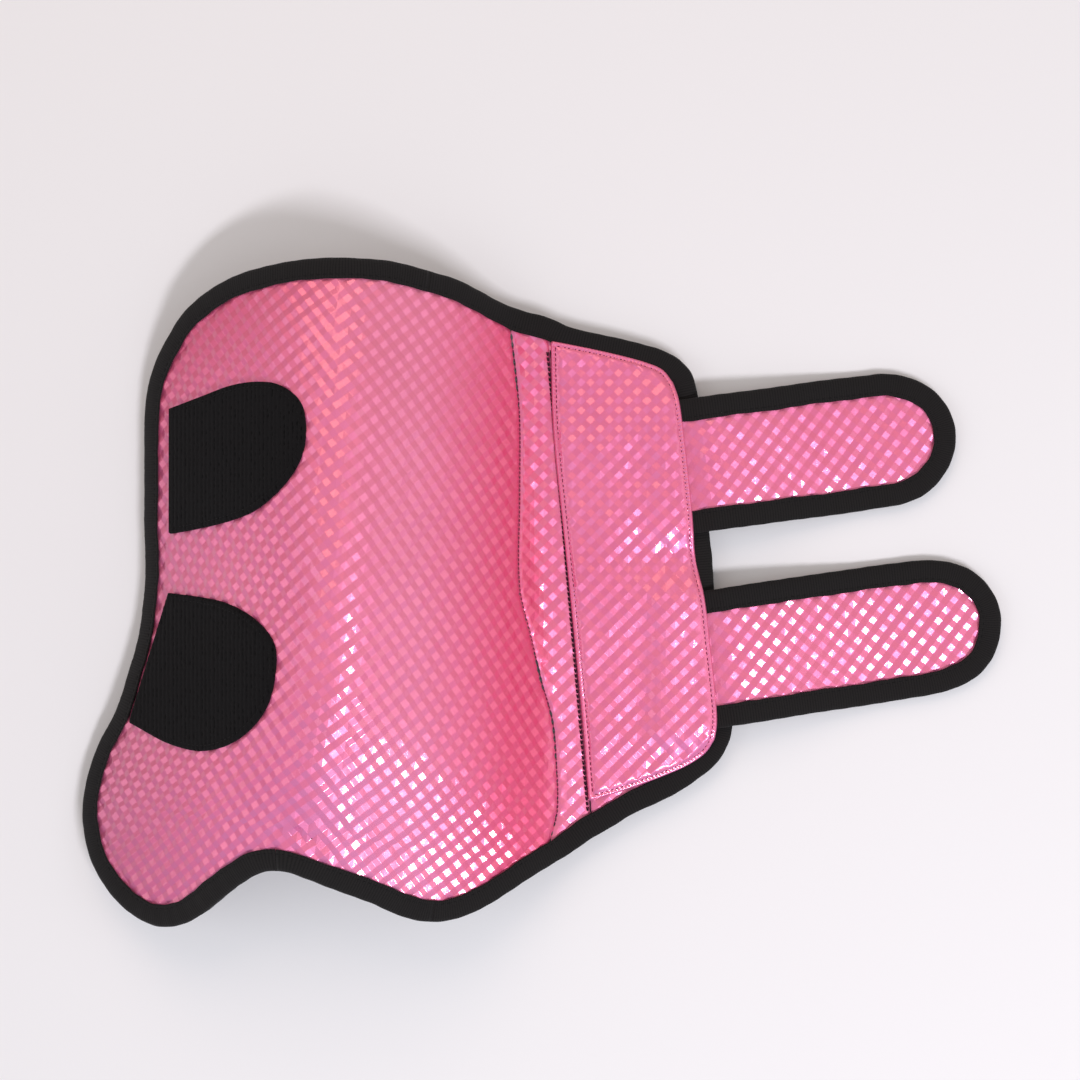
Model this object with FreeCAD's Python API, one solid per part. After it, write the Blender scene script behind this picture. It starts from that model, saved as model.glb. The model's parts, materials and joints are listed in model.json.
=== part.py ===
import FreeCAD, Part
import math
import os

# Wrap-around padded leg guard, lying outer face up.
# Millimetres, +Z up, +X along the straps, origin at the bottom centre of the
# bounding box.  From -X to +X: wing, domed shell, nearly flat flap, two straps.
#
# The guard is a sandwich of outer skin, foam and lining with a folded tape
# round every edge.  One smooth outer surface runs through wing, shell and
# flap, and every layer is measured from it along its normal.
#
# Outlines are drafted as plan points (x, y), a central projection from a
# station straight above the middle: a plan point at height z stands at
# (x, y) * (1 - z / STATION).  "North" is +Y on the plan and "east" is +X.

Vector = FreeCAD.Vector

# ---------------------------------------------------------------- dimensions
STATION = 600.0          # station height of the drafting plan
SHIFT = Vector(-0.915, 20.551, -0.006)  # moves the drafted part onto its origin

SKIN_T = 0.8             # outer skin
FOAM_T = 3.0             # foam core
LINING_T = 0.8           # lining
PLAY = 0.1               # play between loose layers
TAPE_T = 0.58            # binding tape thickness
TAPE_W = 8.5             # folded width of the binding on one face
TAPE_PLAY = 0.12         # play between the binding legs and the layers
EDGE_PLAY = 0.15         # play between the layers' edge and the fold of tape
THREAD_W = 0.5           # width of a stitch line
THREAD_H = 0.8 * THREAD_W
THREAD_LIFT = 0.06       # stitch line above the face it lies on

# heights of each layer's two faces on the outer surface's normal
FOAM_TOP = -SKIN_T - PLAY
LINING_TOP = FOAM_TOP - FOAM_T - PLAY
INNER = LINING_TOP - LINING_T
LAYERS = {
    "outer": (-SKIN_T, 0.0),
    "foam": (FOAM_TOP - FOAM_T, FOAM_TOP),
    "lining": (INNER, LINING_TOP),
}

LAYER_INSET = TAPE_T + EDGE_PLAY        # layers' edge inside the outline
STITCH_INSET = TAPE_W - 1.4             # binding stitch line inside the outline
TAPE_STITCH_Z = TAPE_PLAY + TAPE_T + THREAD_LIFT

FLAP_Z = 7.7             # height of the outer surface at the flap fold
FLAP_EDGE_Z = 6.0        # height of the outer surface at the flap's free edge
FLAP_FALL_L = 70.0       # length over which the flap sinks to its edge height
BASE_Z = 5.4             # height of the outer surface at the wing's free edge
VALLEY_R = 3.7           # softness of the valley between shell and flap

WING_GAP = 2.5           # half gap in the layers at the wing fold
FLAP_GAP = 1.5           # half gap in the layers at the flap fold
TAPE_BACK = 4.8          # flap binding starts this far beyond the fold gap
STRIP_GAP = 0.1          # half gap between seam strip and flap skin
MIN_RUN = 6.0            # shorter pieces of a cut outline are dropped

# ------------------------------------------------------- surface of the body
# section from crest (0) to edge (1): (place, relative slope)
SECTION_EAST = [
    (0.0, 0.0), (0.1, 0.34), (0.2, 0.60), (0.3, 0.72), (0.45, 0.77),
    (0.6, 0.82), (0.75, 0.92), (0.9, 1.05), (1.0, 1.10),
]
SECTION_WEST = [
    (0.0, 0.0), (0.1, 0.30), (0.2, 0.54), (0.3, 0.70), (0.45, 0.86),
    (0.6, 0.93), (0.75, 0.96), (0.9, 0.99), (1.0, 1.00),
]
SECTION_STEPS = 80

# (y, height of the crest)
CREST_HEIGHT = [
    (-150.15, 41.58), (-130.90, 47.74), (-119.35, 51.59), (-100.10, 57.37), (-84.70, 60.83),
    (-61.60, 62.76), (-23.10, 61.60), (15.40, 57.75), (53.90, 51.98), (73.15, 48.12),
    (92.40, 43.51), (108.57, 38.50), (119.35, 34.65),
]
# (y, x of the crest)
CREST_LINE = [
    (-150.15, -93.94), (-119.35, -90.48), (-80.85, -83.93), (-23.10, -80.85),
    (53.90, -79.70), (108.57, -78.92), (119.35, -78.54),
]
# (y, x of the wing's base line)
BASE_LINE = [
    (-150.15, -180.18), (-123.20, -178.64), (-96.25, -175.56), (-69.30, -166.32),
    (-46.20, -157.85), (-23.10, -152.46), (15.40, -152.08), (61.60, -151.69),
    (92.40, -150.15), (111.65, -149.00), (119.35, -147.84),
]

# ------------------------------------------------------------- drafted lines
# straight lines across the body, each (x, y) from its north to its south end
WING_FOLD_LINE = ((-75.08, 115.50), (-92.40, -138.60))
FLAP_FOLD_LINE = ((-11.55, 85.47), (7.70, -119.35))
STRIP_LINE = ((2.89, 80.85), (19.25, -105.88))

# (x, y) round shell, wing and flap, clockwise from the top of the crest
OUTLINE = [
    (-87.39, 108.57), (-77.77, 108.95), (-68.53, 108.57), (-58.91, 107.80), (-50.05, 105.88),
    (-40.81, 103.18), (-31.96, 100.48), (-23.48, 96.25), (-15.02, 91.63), (-6.16, 88.17),
    (2.70, 85.86), (11.55, 82.00), (20.79, 79.70), (30.03, 77.77), (39.27, 75.46),
    (46.97, 73.15), (53.90, 69.30), (58.52, 63.91), (60.45, 56.98), (61.98, 48.12),
    (63.14, 36.58), (64.30, 19.25), (65.06, 3.85), (66.22, -6.16), (66.99, -18.09),
    (68.53, -30.80), (70.45, -44.27), (72.77, -57.75), (74.31, -68.53), (72.77, -77.77),
    (68.14, -85.86), (60.83, -92.02), (52.75, -97.41), (44.27, -101.64), (35.80, -105.49),
    (27.72, -110.50), (19.64, -115.12), (11.94, -120.51), (3.85, -125.51), (-4.24, -130.52),
    (-12.32, -135.91), (-19.64, -140.53), (-28.49, -144.76), (-37.73, -147.07),
    (-47.36, -146.69), (-56.21, -143.99), (-64.68, -140.14), (-73.15, -137.06),
    (-81.62, -133.98), (-90.48, -130.52), (-98.95, -127.82), (-107.03, -128.21),
    (-115.12, -132.44), (-122.81, -138.22), (-130.13, -143.99), (-138.22, -148.22),
    (-147.07, -149.00), (-155.93, -145.15), (-163.24, -138.99), (-169.02, -131.28),
    (-173.25, -122.81), (-175.56, -113.58), (-176.33, -104.34), (-175.18, -94.71),
    (-172.87, -85.86), (-169.40, -77.00), (-164.78, -68.53), (-161.31, -60.06),
    (-158.62, -50.82), (-155.93, -42.35), (-154.00, -33.11), (-152.84, -23.87),
    (-152.08, -14.63), (-152.08, -5.00), (-152.46, 4.24), (-152.46, 13.86),
    (-152.46, 23.48), (-152.46, 33.11), (-152.46, 42.35), (-152.08, 51.98),
    (-150.53, 61.22), (-147.46, 70.45), (-143.22, 78.54), (-138.22, 86.62),
    (-131.67, 93.17), (-123.97, 98.56), (-115.12, 102.80), (-105.88, 105.49),
    (-96.64, 107.42),
]

# rounded corners of the outline, where a surface grid turns from side to side
WING_SOUTH_CORNER = (-163.24, -138.99)
WING_NORTH_CORNER = (-138.22, 86.62)
FLAP_CORNERS = ((56.59, 66.22), (70.84, -81.62))        # north-east, south-east


# ------------------------------------------------------------- plane curves
def hermite(table, x):
    """Smooth curve through (x, value) rows, straight beyond the ends."""
    last = len(table) - 1

    def slope(first, second):
        return (table[second][1] - table[first][1]) / (table[second][0] - table[first][0])

    if x <= table[0][0]:
        return table[0][1] + slope(0, 1) * (x - table[0][0])
    if x >= table[-1][0]:
        return table[-1][1] + slope(last - 1, last) * (x - table[-1][0])
    i = 0
    while x > table[i + 1][0]:
        i += 1
    span = table[i + 1][0] - table[i][0]
    t = (x - table[i][0]) / span
    start_slope = slope(max(i - 1, 0), i + 1) * span
    end_slope = slope(i, min(i + 2, last)) * span
    return cubic(table[i][1], table[i + 1][1], start_slope, end_slope, t)


def cubic(start, end, start_slope, end_slope, t):
    t2, t3 = t * t, t * t * t
    return ((2 * t3 - 3 * t2 + 1) * start + (t3 - 2 * t2 + t) * start_slope
            + (-2 * t3 + 3 * t2) * end + (t3 - t2) * end_slope)


def ease(t):
    """Smooth step from 0 to 1, flat outside."""
    t = min(max(t, 0.0), 1.0)
    return t * t * (3 - 2 * t)


def distance(start, end):
    return math.hypot(end[0] - start[0], end[1] - start[1])


def length(points):
    return sum(distance(a, b) for a, b in zip(points, points[1:]))


def between(start, end, t):
    return tuple(start[k] + (end[k] - start[k]) * t for k in (0, 1))


def spline_points(points, closed=False, per_span=8):
    """Dense points of a smooth curve (centripetal spline) through the points."""
    if closed:
        padded = [points[-1]] + points + points[:2]
    else:
        def beyond_end(end, inner):
            return (2 * end[0] - inner[0], 2 * end[1] - inner[1])
        padded = ([beyond_end(points[0], points[1])] + points
                  + [beyond_end(points[-1], points[-2])])

    dense = []
    for before, start, end, after in zip(padded, padded[1:], padded[2:], padded[3:]):
        knot_in, knot, knot_out = [
            math.sqrt(max(distance(*pair), 1e-6))
            for pair in ((before, start), (start, end), (end, after))]
        for step in range(per_span):
            point = []
            for k in (0, 1):
                middle = (end[k] - start[k]) / knot
                start_slope = ((start[k] - before[k]) / knot_in
                               - (end[k] - before[k]) / (knot_in + knot) + middle) * knot
                end_slope = (middle - (after[k] - start[k]) / (knot + knot_out)
                             + (after[k] - end[k]) / knot_out) * knot
                point.append(cubic(start[k], end[k], start_slope, end_slope, step / per_span))
            dense.append(tuple(point))
    if not closed:
        dense.append(points[-1])
    return dense


def resample(points, count):
    """Points evenly spaced along an open run of points."""
    travelled = [0.0]
    for a, b in zip(points, points[1:]):
        travelled.append(travelled[-1] + distance(a, b))
    even, j = [], 0
    for k in range(count):
        target = travelled[-1] * k / (count - 1)
        while j < len(points) - 2 and travelled[j + 1] < target:
            j += 1
        span = travelled[j + 1] - travelled[j]
        t = 0.0 if span < 1e-12 else min(max((target - travelled[j]) / span, 0.0), 1.0)
        even.append(between(points[j], points[j + 1], t))
    return even


def nearest(points, target):
    return min(range(len(points)), key=lambda i: distance(target, points[i]))


def line_x(line, y):
    (x0, y0), (x1, y1) = line
    return x0 + (x1 - x0) * (y - y0) / (y1 - y0)


def side_of(line, point):
    """Signed plan distance from a line; positive on the east of a line drawn north to south."""
    (x0, y0), (x1, y1) = line
    run_x, run_y = x1 - x0, y1 - y0
    return ((point[1] - y0) * run_x - (point[0] - x0) * run_y) / math.hypot(run_x, run_y)


def east_of(line, gap):
    """Test that is positive more than gap east of a line."""
    return lambda point: side_of(line, point) - gap


def west_of(line, gap):
    return lambda point: -side_of(line, point) - gap


def split_closed(points, tests):
    """Runs of a closed curve where every test is positive, ends found by interpolation."""
    count = len(points)
    values = [min(test(point) for test in tests) for point in points]
    start = next(i for i in range(count) if values[i] <= 0)
    runs, current = [], None
    for k in range(1, count + 1):
        i, j = (start + k - 1) % count, (start + k) % count
        if values[i] <= 0 and values[j] <= 0:
            continue
        if values[i] > 0 and values[j] > 0:
            current.append(points[j])
            continue
        cut = between(points[i], points[j], values[i] / (values[i] - values[j]))
        if values[i] <= 0:
            current = [cut, points[j]]
        else:
            current.append(cut)
            if length(current) > MIN_RUN:
                runs.append(current)
    return runs


# ----------------------------------------------------------------- surfaces
def section_profile(rows):
    """Slopes and running drop of a section, scaled to a total drop of 1."""
    slopes = [hermite(rows, k / SECTION_STEPS) for k in range(SECTION_STEPS + 1)]
    drops = [0.0]
    for a, b in zip(slopes, slopes[1:]):
        drops.append(drops[-1] + 0.5 * (a + b) / SECTION_STEPS)
    total = drops[-1]
    return [v / total for v in slopes], [v / total for v in drops]


EAST_PROFILE = section_profile(SECTION_EAST)
WEST_PROFILE = section_profile(SECTION_WEST)


def drop(t, profile):
    slopes, drops = profile
    if t >= 1.0:
        return drops[-1] + slopes[-1] * (t - 1.0)
    k = min(int(t * SECTION_STEPS), SECTION_STEPS - 1)
    rest = t - k / SECTION_STEPS
    bend = (slopes[k + 1] - slopes[k]) * SECTION_STEPS
    return drops[k] + slopes[k] * rest + 0.5 * bend * rest * rest


def body_height(x, y):
    """Height of the outer surface over the drafting plan."""
    crest_z = hermite(CREST_HEIGHT, y)
    crest_x = hermite(CREST_LINE, y)
    if x < crest_x:
        base_x = hermite(BASE_LINE, y)
        fall = drop((crest_x - x) / (crest_x - base_x), WEST_PROFILE)
        return crest_z - (crest_z - BASE_Z) * fall
    fold_x = line_x(FLAP_FOLD_LINE, y)
    fall = drop((x - crest_x) / (fold_x - crest_x), EAST_PROFILE)
    dome = crest_z - (crest_z - FLAP_Z) * fall
    flap = FLAP_Z + (FLAP_EDGE_Z - FLAP_Z) * ease((x - fold_x) / FLAP_FALL_L)
    return 0.5 * (dome + flap + math.sqrt((dome - flap) ** 2 + VALLEY_R ** 2))


def stand(point, z):
    """Where a plan point of height z stands in space."""
    scale = 1.0 - z / STATION
    return Vector(point[0] * scale, point[1] * scale, z)


class Surface:
    """A height field over the drafting plan."""

    PROBE = 0.25         # plan step for measuring tangents

    def __init__(self, height):
        self.height = height

    def at(self, point):
        return stand(point, self.height(*point))

    def tangents(self, point):
        x, y = point
        probe, scale = self.PROBE, 0.5 / self.PROBE
        return ((self.at((x + probe, y)) - self.at((x - probe, y))) * scale,
                (self.at((x, y + probe)) - self.at((x, y - probe))) * scale)

    def normal(self, point):
        along_x, along_y = self.tangents(point)
        return along_x.cross(along_y).normalize()

    def off(self, point, lift):
        """Point in space at a height measured along the normal."""
        return self.at(point) + self.normal(point) * lift

    def plan_step(self, point, move):
        """Plan point reached when the surface point moves by a vector in space."""
        a, b = self.tangents(point)
        aa, ab, bb = a.dot(a), a.dot(b), b.dot(b)
        am, bm = a.dot(move), b.dot(move)
        det = aa * bb - ab * ab
        return (point[0] + (am * bb - bm * ab) / det, point[1] + (bm * aa - am * ab) / det)

    def march(self, point, direction, reach):
        """Plan point a true distance away over the surface, in steps of about 1 mm."""
        steps = max(1, int(abs(reach) / 1.0 + 0.999))
        for _ in range(steps):
            normal = self.normal(point)
            direction = direction - normal * direction.dot(normal)
            direction.normalize()
            point = self.plan_step(point, direction * (reach / steps))
        return point

    def inward(self, points, i, closed=False):
        """Direction across a curve at point i; inward if the curve runs clockwise."""
        last = len(points) - 1
        before = points[i - 1] if closed or i > 0 else points[i]
        after = points[(i + 1) % len(points)] if closed or i < last else points[i]
        return (self.at(after) - self.at(before)).cross(self.normal(points[i]))


BODY = Surface(body_height)


def inset(surface, points, reach, closed=True):
    """Move a clockwise curve inward over the surface by a true distance."""
    return [surface.march(point, surface.inward(points, i, closed), reach)
            for i, point in enumerate(points)]


# --------------------------------------------------------------- plan grids
def patch_grid(sides, columns, rows):
    """Grid filled between four sides (Coons patch).
    South and north run west to east; west and east run south to north."""
    south, north = [resample(side, columns) for side in sides[:2]]
    west, east = [resample(side, rows) for side in sides[2:]]
    grid = []
    for i in range(columns):
        u = i / (columns - 1)
        column = []
        for j in range(rows):
            v = j / (rows - 1)
            column.append(tuple(
                (1 - v) * south[i][k] + v * north[i][k] + (1 - u) * west[j][k] + u * east[j][k]
                - ((1 - u) * (1 - v) * south[0][k] + u * (1 - v) * south[-1][k]
                   + (1 - u) * v * north[0][k] + u * v * north[-1][k])
                for k in (0, 1)))
        grid.append(column)
    return grid


def east_grid(run, corners, columns, rows):
    """Grid with a straight west side; the run goes clockwise round the other
    three sides, turning at the north-east and south-east corners."""
    first, second = [nearest(run, corner) for corner in corners]
    sides = (list(reversed(run[second:])), run[:first + 1], [run[-1], run[0]],
             list(reversed(run[first:second + 1])))
    return patch_grid(sides, columns, rows)


def band_grid(tests, columns, rows):
    """Grid of a band across the body, between its north and south edges."""
    runs = split_closed(layer_edge, tests)
    north = next(run for run in runs if run[0][1] > 0)
    south = next(run for run in runs if run[0][1] < 0)
    sides = (list(reversed(south)), north, [south[-1], north[0]], [south[0], north[-1]])
    return patch_grid(sides, columns, rows)


# ------------------------------------------------------------------- solids
def solid_of(faces):
    compound = Part.Compound(faces)
    compound.sewShape()
    shell = compound if compound.ShapeType == "Shell" else compound.Shells[0]
    solid = Part.Solid(shell)
    if solid.Volume < 0:
        solid.reverse()
    return solid


def border_edges(face_surface):
    u0, u1, v0, v1 = face_surface.bounds()
    return [face_surface.uIso(u0).toShape(), face_surface.uIso(u1).toShape(),
            face_surface.vIso(v0).toShape(), face_surface.vIso(v1).toShape()]


def slab(surface, grid, low, high):
    """Closed layer between two heights; a height may be a function of (i, j)."""
    skins = []
    for level in (low, high):
        lift = level if callable(level) else (lambda i, j, level=level: level)
        skin = Part.BSplineSurface()
        skin.interpolate([[surface.off(point, lift(i, j)) for j, point in enumerate(column)]
                          for i, column in enumerate(grid)])
        skins.append(skin)
    faces = [skin.toShape() for skin in skins]
    faces += [Part.makeRuledSurface(a, b) for a, b in zip(*map(border_edges, skins))]
    return solid_of(faces)


# triangles that close the end of a swept ring, by number of ring corners:
# 4 is a thread, 12 is the U of a folded tape (lower leg, web, upper leg)
CAP_TRIANGLES = {
    4: [(0, 1, 2), (0, 2, 3)],
    12: [(1, 2, 3), (1, 3, 4), (0, 1, 4), (0, 4, 5), (0, 5, 6), (0, 6, 11),
         (11, 6, 7), (11, 7, 10), (10, 7, 8), (10, 8, 9)],
}


def cap_faces(ring):
    faces = []
    for triangle in CAP_TRIANGLES[len(ring)]:
        a, b, c = [ring[k] for k in triangle]
        if (b - a).cross(c - a).Length >= 1e-9:
            faces.append(Part.Face(Part.makePolygon([a, b, c, a])))
    return faces


def sweep_rings(rings):
    """Closed solid through a row of rings, each a list of corner points."""
    edges = []
    for track in zip(*rings):
        curve = Part.BSplineCurve()
        curve.interpolate(list(track))
        edges.append(curve.toShape())
    faces = [Part.makeRuledSurface(edge, edges[(k + 1) % len(edges)])
             for k, edge in enumerate(edges)]
    faces += cap_faces(rings[0]) + cap_faces(rings[-1])
    return solid_of(faces)


def binding(surface, run, low, high, spacing=5.0):
    """Folded tape round an edge run; low and high are the layers' faces."""
    points = resample(run, max(8, int(length(run) / spacing) + 1))
    low_in, high_in = low - TAPE_PLAY, high + TAPE_PLAY
    low_out, high_out = low_in - TAPE_T, high_in + TAPE_T
    rings = []
    for i, point in enumerate(points):
        direction = surface.inward(points, i)
        fold = point
        web, middle, rim = [surface.march(point, direction, reach)
                            for reach in (TAPE_T, 0.5 * TAPE_W, TAPE_W)]
        corners = ((fold, low_out), (middle, low_out), (rim, low_out),
                   (rim, low_in), (middle, low_in), (web, low_in),
                   (web, high_in), (middle, high_in), (rim, high_in),
                   (rim, high_out), (middle, high_out), (fold, high_out))
        rings.append([surface.off(*corner) for corner in corners])
    return sweep_rings(rings)


def thread(surface, run, base, spacing=4.0):
    """Stitch line; base is its underside's height, or a function of the plan point."""
    points = resample(run, max(6, int(length(run) / spacing) + 1))
    rings = []
    for i, point in enumerate(points):
        direction = surface.inward(points, i)
        inner, outer = [surface.march(point, direction, reach)
                        for reach in (THREAD_W / 2, -THREAD_W / 2)]
        low = base(point) if callable(base) else base
        high = low + THREAD_H
        corners = ((inner, low), (outer, low), (outer, high), (inner, high))
        rings.append([surface.off(*corner) for corner in corners])
    return sweep_rings(rings)


def export(name, *solids):
    """Move a piece onto the part's origin and write it."""
    for solid in solids:
        if not solid.isValid() or solid.Volume <= 0:
            raise SystemExit("bad solid in " + name)
        solid.translate(SHIFT)
    piece = solids[0] if len(solids) == 1 else Part.Compound(list(solids))
    piece.exportStep("parts/" + name + ".step")


def export_layers(section, grid, tags):
    for tag in tags:
        export(section + "_" + tag, slab(BODY, grid, *LAYERS[tag]))


def export_edge(section, tape_tests, stitch_tests, spacing=5.0):
    """Binding round a section of the body, with its stitching."""
    export(section + "_binding", *[binding(BODY, run, INNER, 0.0, spacing)
                                   for run in split_closed(edge, tape_tests)])
    export(section + "_binding_stitching", *[thread(BODY, run, TAPE_STITCH_Z)
                                             for run in split_closed(stitch_edge, stitch_tests)])


# ----------------------------------------------------------- wing and shell
edge = spline_points(OUTLINE, closed=True)          # outside of the binding
layer_edge = inset(BODY, edge, LAYER_INSET)
stitch_edge = inset(BODY, edge, STITCH_INSET)


def make_wing():
    tests = [west_of(WING_FOLD_LINE, WING_GAP)]
    run = split_closed(layer_edge, tests)[0]        # south cut, west edge, north cut
    south = nearest(run, WING_SOUTH_CORNER)
    north = nearest(run, WING_NORTH_CORNER)
    sides = (list(reversed(run[:south + 1])), run[north:], run[south:north + 1],
             [run[0], run[-1]])
    export_layers("wing", patch_grid(sides, 17, 25), LAYERS)
    export_edge("wing", tests, tests)


def make_shell():
    tests = [east_of(WING_FOLD_LINE, WING_GAP), west_of(FLAP_FOLD_LINE, FLAP_GAP)]
    export_layers("shell", band_grid(tests, 17, 29), LAYERS)
    export_edge("shell", tests, tests)


# --------------------------------------------------------------------- flap
ROOT_SPANS = ((1.5, 58.0), (-77.0, -16.5))  # y spans covered by the strap roots
ROOT_WEST = 45.0                            # strap roots matter east of this x
STRIP_ROWS = (0.12, 0.86)                   # stitch rows, as parts of the strip's width
STRIP_END_CLEAR = TAPE_W + 1.5              # strip stitching stays this far from the edge


def clear_of_roots(point):
    covered = any(low < point[1] < high for low, high in ROOT_SPANS)
    return -1.0 if point[0] > ROOT_WEST and covered else 1.0


def strip_row(grid, part):
    """Line along the seam strip, without the ends near the binding."""
    row = [between(west, east, part) for west, east in zip(grid[0], grid[-1])]
    return [point for point in row
            if all(distance(corner, point) > STRIP_END_CLEAR for corner in edge)]


def make_flap():
    beyond_fold = east_of(FLAP_FOLD_LINE, FLAP_GAP)
    run = split_closed(layer_edge, [beyond_fold])[0]
    export_layers("flap", east_grid(run, FLAP_CORNERS, 15, 27), ("foam", "lining"))

    # the skin is in two pieces, parted at the strip line
    run = split_closed(layer_edge, [east_of(STRIP_LINE, STRIP_GAP)])[0]
    export_layers("flap", east_grid(run, FLAP_CORNERS, 13, 27), ("outer",))
    strip = band_grid([beyond_fold, west_of(STRIP_LINE, STRIP_GAP)], 7, 27)
    export("seam_strip", slab(BODY, strip, *LAYERS["outer"]))
    export("strip_stitching", *[thread(BODY, strip_row(strip, part), THREAD_LIFT)
                                for part in STRIP_ROWS])

    # the tape ends square, so it starts clear of the fold
    tape_test = east_of(FLAP_FOLD_LINE, FLAP_GAP + TAPE_BACK)
    export_edge("flap", [tape_test], [tape_test, clear_of_roots], spacing=3.0)


# ---------------------------------------------------------------- pad cover
PAD_BASE = 2.75          # underside of the pad cover's rim above the flap skin
PAD_T = 0.8              # pad cover thickness
PAD_PUFF = 2.2           # extra height of the stuffed middle of the pad
PAD_FOAM_LOW = 0.15      # underside of the stuffing above the flap skin
PAD_FOAM_PLAY = 0.12     # play between stuffing and cover
PAD_STITCH_LIFT = 0.08   # stitching above the cover

# sides of the pad, (x, y): west and east run north to south, the others west to east
PAD_WEST = [
    (4.08, 76.77), (5.00, 43.51), (9.39, -0.39), (13.36, -40.04), (16.55, -73.15),
    (18.67, -100.48),
]
PAD_NORTH = [(4.08, 76.77), (22.33, 73.15), (40.43, 68.53), (47.36, 65.45), (51.20, 60.45)]
PAD_EAST = [
    (51.20, 60.45), (53.13, 53.90), (55.44, 36.73), (58.02, 12.86), (59.68, -5.78),
    (63.14, -23.10), (65.06, -40.04), (66.99, -57.37), (67.76, -69.30), (66.99, -76.23),
]
PAD_SOUTH = [
    (18.67, -100.48), (33.88, -95.87), (48.51, -90.48), (57.75, -86.24), (63.91, -81.62),
    (66.99, -76.23),
]

# the pad is drafted on a fine grid of cells; cover and stuffing use some of its nodes
PAD_CELLS_U, PAD_CELLS_V = 48, 96                   # west to east, south to north
COVER_NODES = (range(0, 49, 3), range(0, 97, 4))
STUFFING_NODES = (range(4, 35, 3), range(6, 91, 4))
PAD_STITCH_U = 2 / PAD_CELLS_U                      # stitching inside the pad's sides
PAD_STITCH_V = 1.2 / PAD_CELLS_V

pad_grid = patch_grid(
    (spline_points(PAD_SOUTH), spline_points(PAD_NORTH),
     list(reversed(spline_points(PAD_WEST))), list(reversed(spline_points(PAD_EAST)))),
    PAD_CELLS_U + 1, PAD_CELLS_V + 1)


def pad_underside(i, j):
    """Height of the cover's underside at a node of the pad grid."""
    u, v = i / PAD_CELLS_U, j / PAD_CELLS_V
    return PAD_BASE + PAD_PUFF * (1 - (2 * u - 1) ** 4) * (1 - (2 * v - 1) ** 8)


def pad_slab(nodes, low, high):
    """Slab on some pad nodes; low and high are functions of the node."""
    columns, rows = nodes
    grid = [[pad_grid[i][j] for j in rows] for i in columns]
    return slab(BODY, grid, lambda i, j: low(columns[i], rows[j]),
                lambda i, j: high(columns[i], rows[j]))


def pad_stitch_height(point):
    """Height above the highest of the four pad nodes nearest to a plan point."""
    nodes = sorted((distance(point, pad_grid[i][j]), i, j)
                   for i in range(PAD_CELLS_U + 1) for j in range(PAD_CELLS_V + 1))[:4]
    return PAD_T + PAD_STITCH_LIFT + max(pad_underside(i, j) for _, i, j in nodes)


def pad_point(u, v):
    """Plan point at fractions of the pad's width and length."""
    x, y = u * PAD_CELLS_U, v * PAD_CELLS_V
    i, j = min(int(x), PAD_CELLS_U - 1), min(int(y), PAD_CELLS_V - 1)
    a, b = x - i, y - j
    return tuple((1 - a) * (1 - b) * pad_grid[i][j][k] + a * (1 - b) * pad_grid[i + 1][j][k]
                 + (1 - a) * b * pad_grid[i][j + 1][k] + a * b * pad_grid[i + 1][j + 1][k]
                 for k in (0, 1))


def pad_stitch_loop():
    """Stitch line clockwise round the pad from its south-west corner."""
    rising = [PAD_STITCH_V + (1 - 2 * PAD_STITCH_V) * k / PAD_CELLS_V
              for k in range(0, PAD_CELLS_V + 1, 2)]
    across = [k / PAD_CELLS_U for k in range(3, PAD_CELLS_U - 2)]
    loop = [(PAD_STITCH_U, v) for v in rising]
    loop += [(u, 1 - PAD_STITCH_V) for u in across]
    loop += [(1 - PAD_STITCH_U, v) for v in reversed(rising)]
    loop += [(u, PAD_STITCH_V) for u in reversed(across)]
    return [pad_point(u, v) for u, v in loop]


def make_pad():
    export("pad_cover", pad_slab(COVER_NODES, pad_underside,
                                 lambda i, j: pad_underside(i, j) + PAD_T))
    export("pad_foam", pad_slab(STUFFING_NODES, lambda i, j: PAD_FOAM_LOW,
                                lambda i, j: pad_underside(i, j) - PAD_FOAM_PLAY))
    export("pad_stitching", thread(BODY, pad_stitch_loop(), pad_stitch_height, spacing=3.0))


# ------------------------------------------------------------- loop patches
PATCH_LIFT = 0.12        # loop patch underside above the skin
PATCH_T = 1.4            # loop patch thickness
PATCH_TOP = PATCH_LIFT + PATCH_T
PATCH_STITCH_INSET = 2.0

# D-shaped patches on the wing, (x, y) clockwise from the north-west to the south-west corner
UPPER_PATCH = [
    (-142.45, 50.44), (-129.36, 55.44), (-118.97, 59.29), (-108.95, 60.83), (-100.10, 59.68),
    (-92.40, 53.52), (-90.09, 44.27), (-91.63, 32.34), (-98.17, 21.56), (-109.34, 11.55),
    (-119.35, 7.32), (-133.59, 3.85), (-142.45, 2.31),
]
LOWER_PATCH = [
    (-142.64, -20.41), (-130.90, -21.95), (-120.89, -24.25), (-109.34, -30.80),
    (-102.41, -39.66), (-101.64, -49.28), (-105.49, -65.06), (-115.89, -76.61),
    (-128.59, -81.23), (-141.30, -78.92), (-157.85, -70.26),
]
# name, outline, outline points taken as north-east and south-east corners
PATCHES = (("upper", UPPER_PATCH, (5, 8)), ("lower", LOWER_PATCH, (4, 6)))


def make_patches():
    rows = []
    for name, outline, corners in PATCHES:
        run = spline_points(outline)
        grid = east_grid(run, [outline[k] for k in corners], 11, 11)
        export(name + "_loop_patch", slab(BODY, grid, PATCH_LIFT, PATCH_TOP))
        row = inset(BODY, run, PATCH_STITCH_INSET, closed=False)[2:-2]
        rows.append(thread(BODY, row, PATCH_TOP + THREAD_LIFT))
    export("patch_stitching", *rows)


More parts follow.
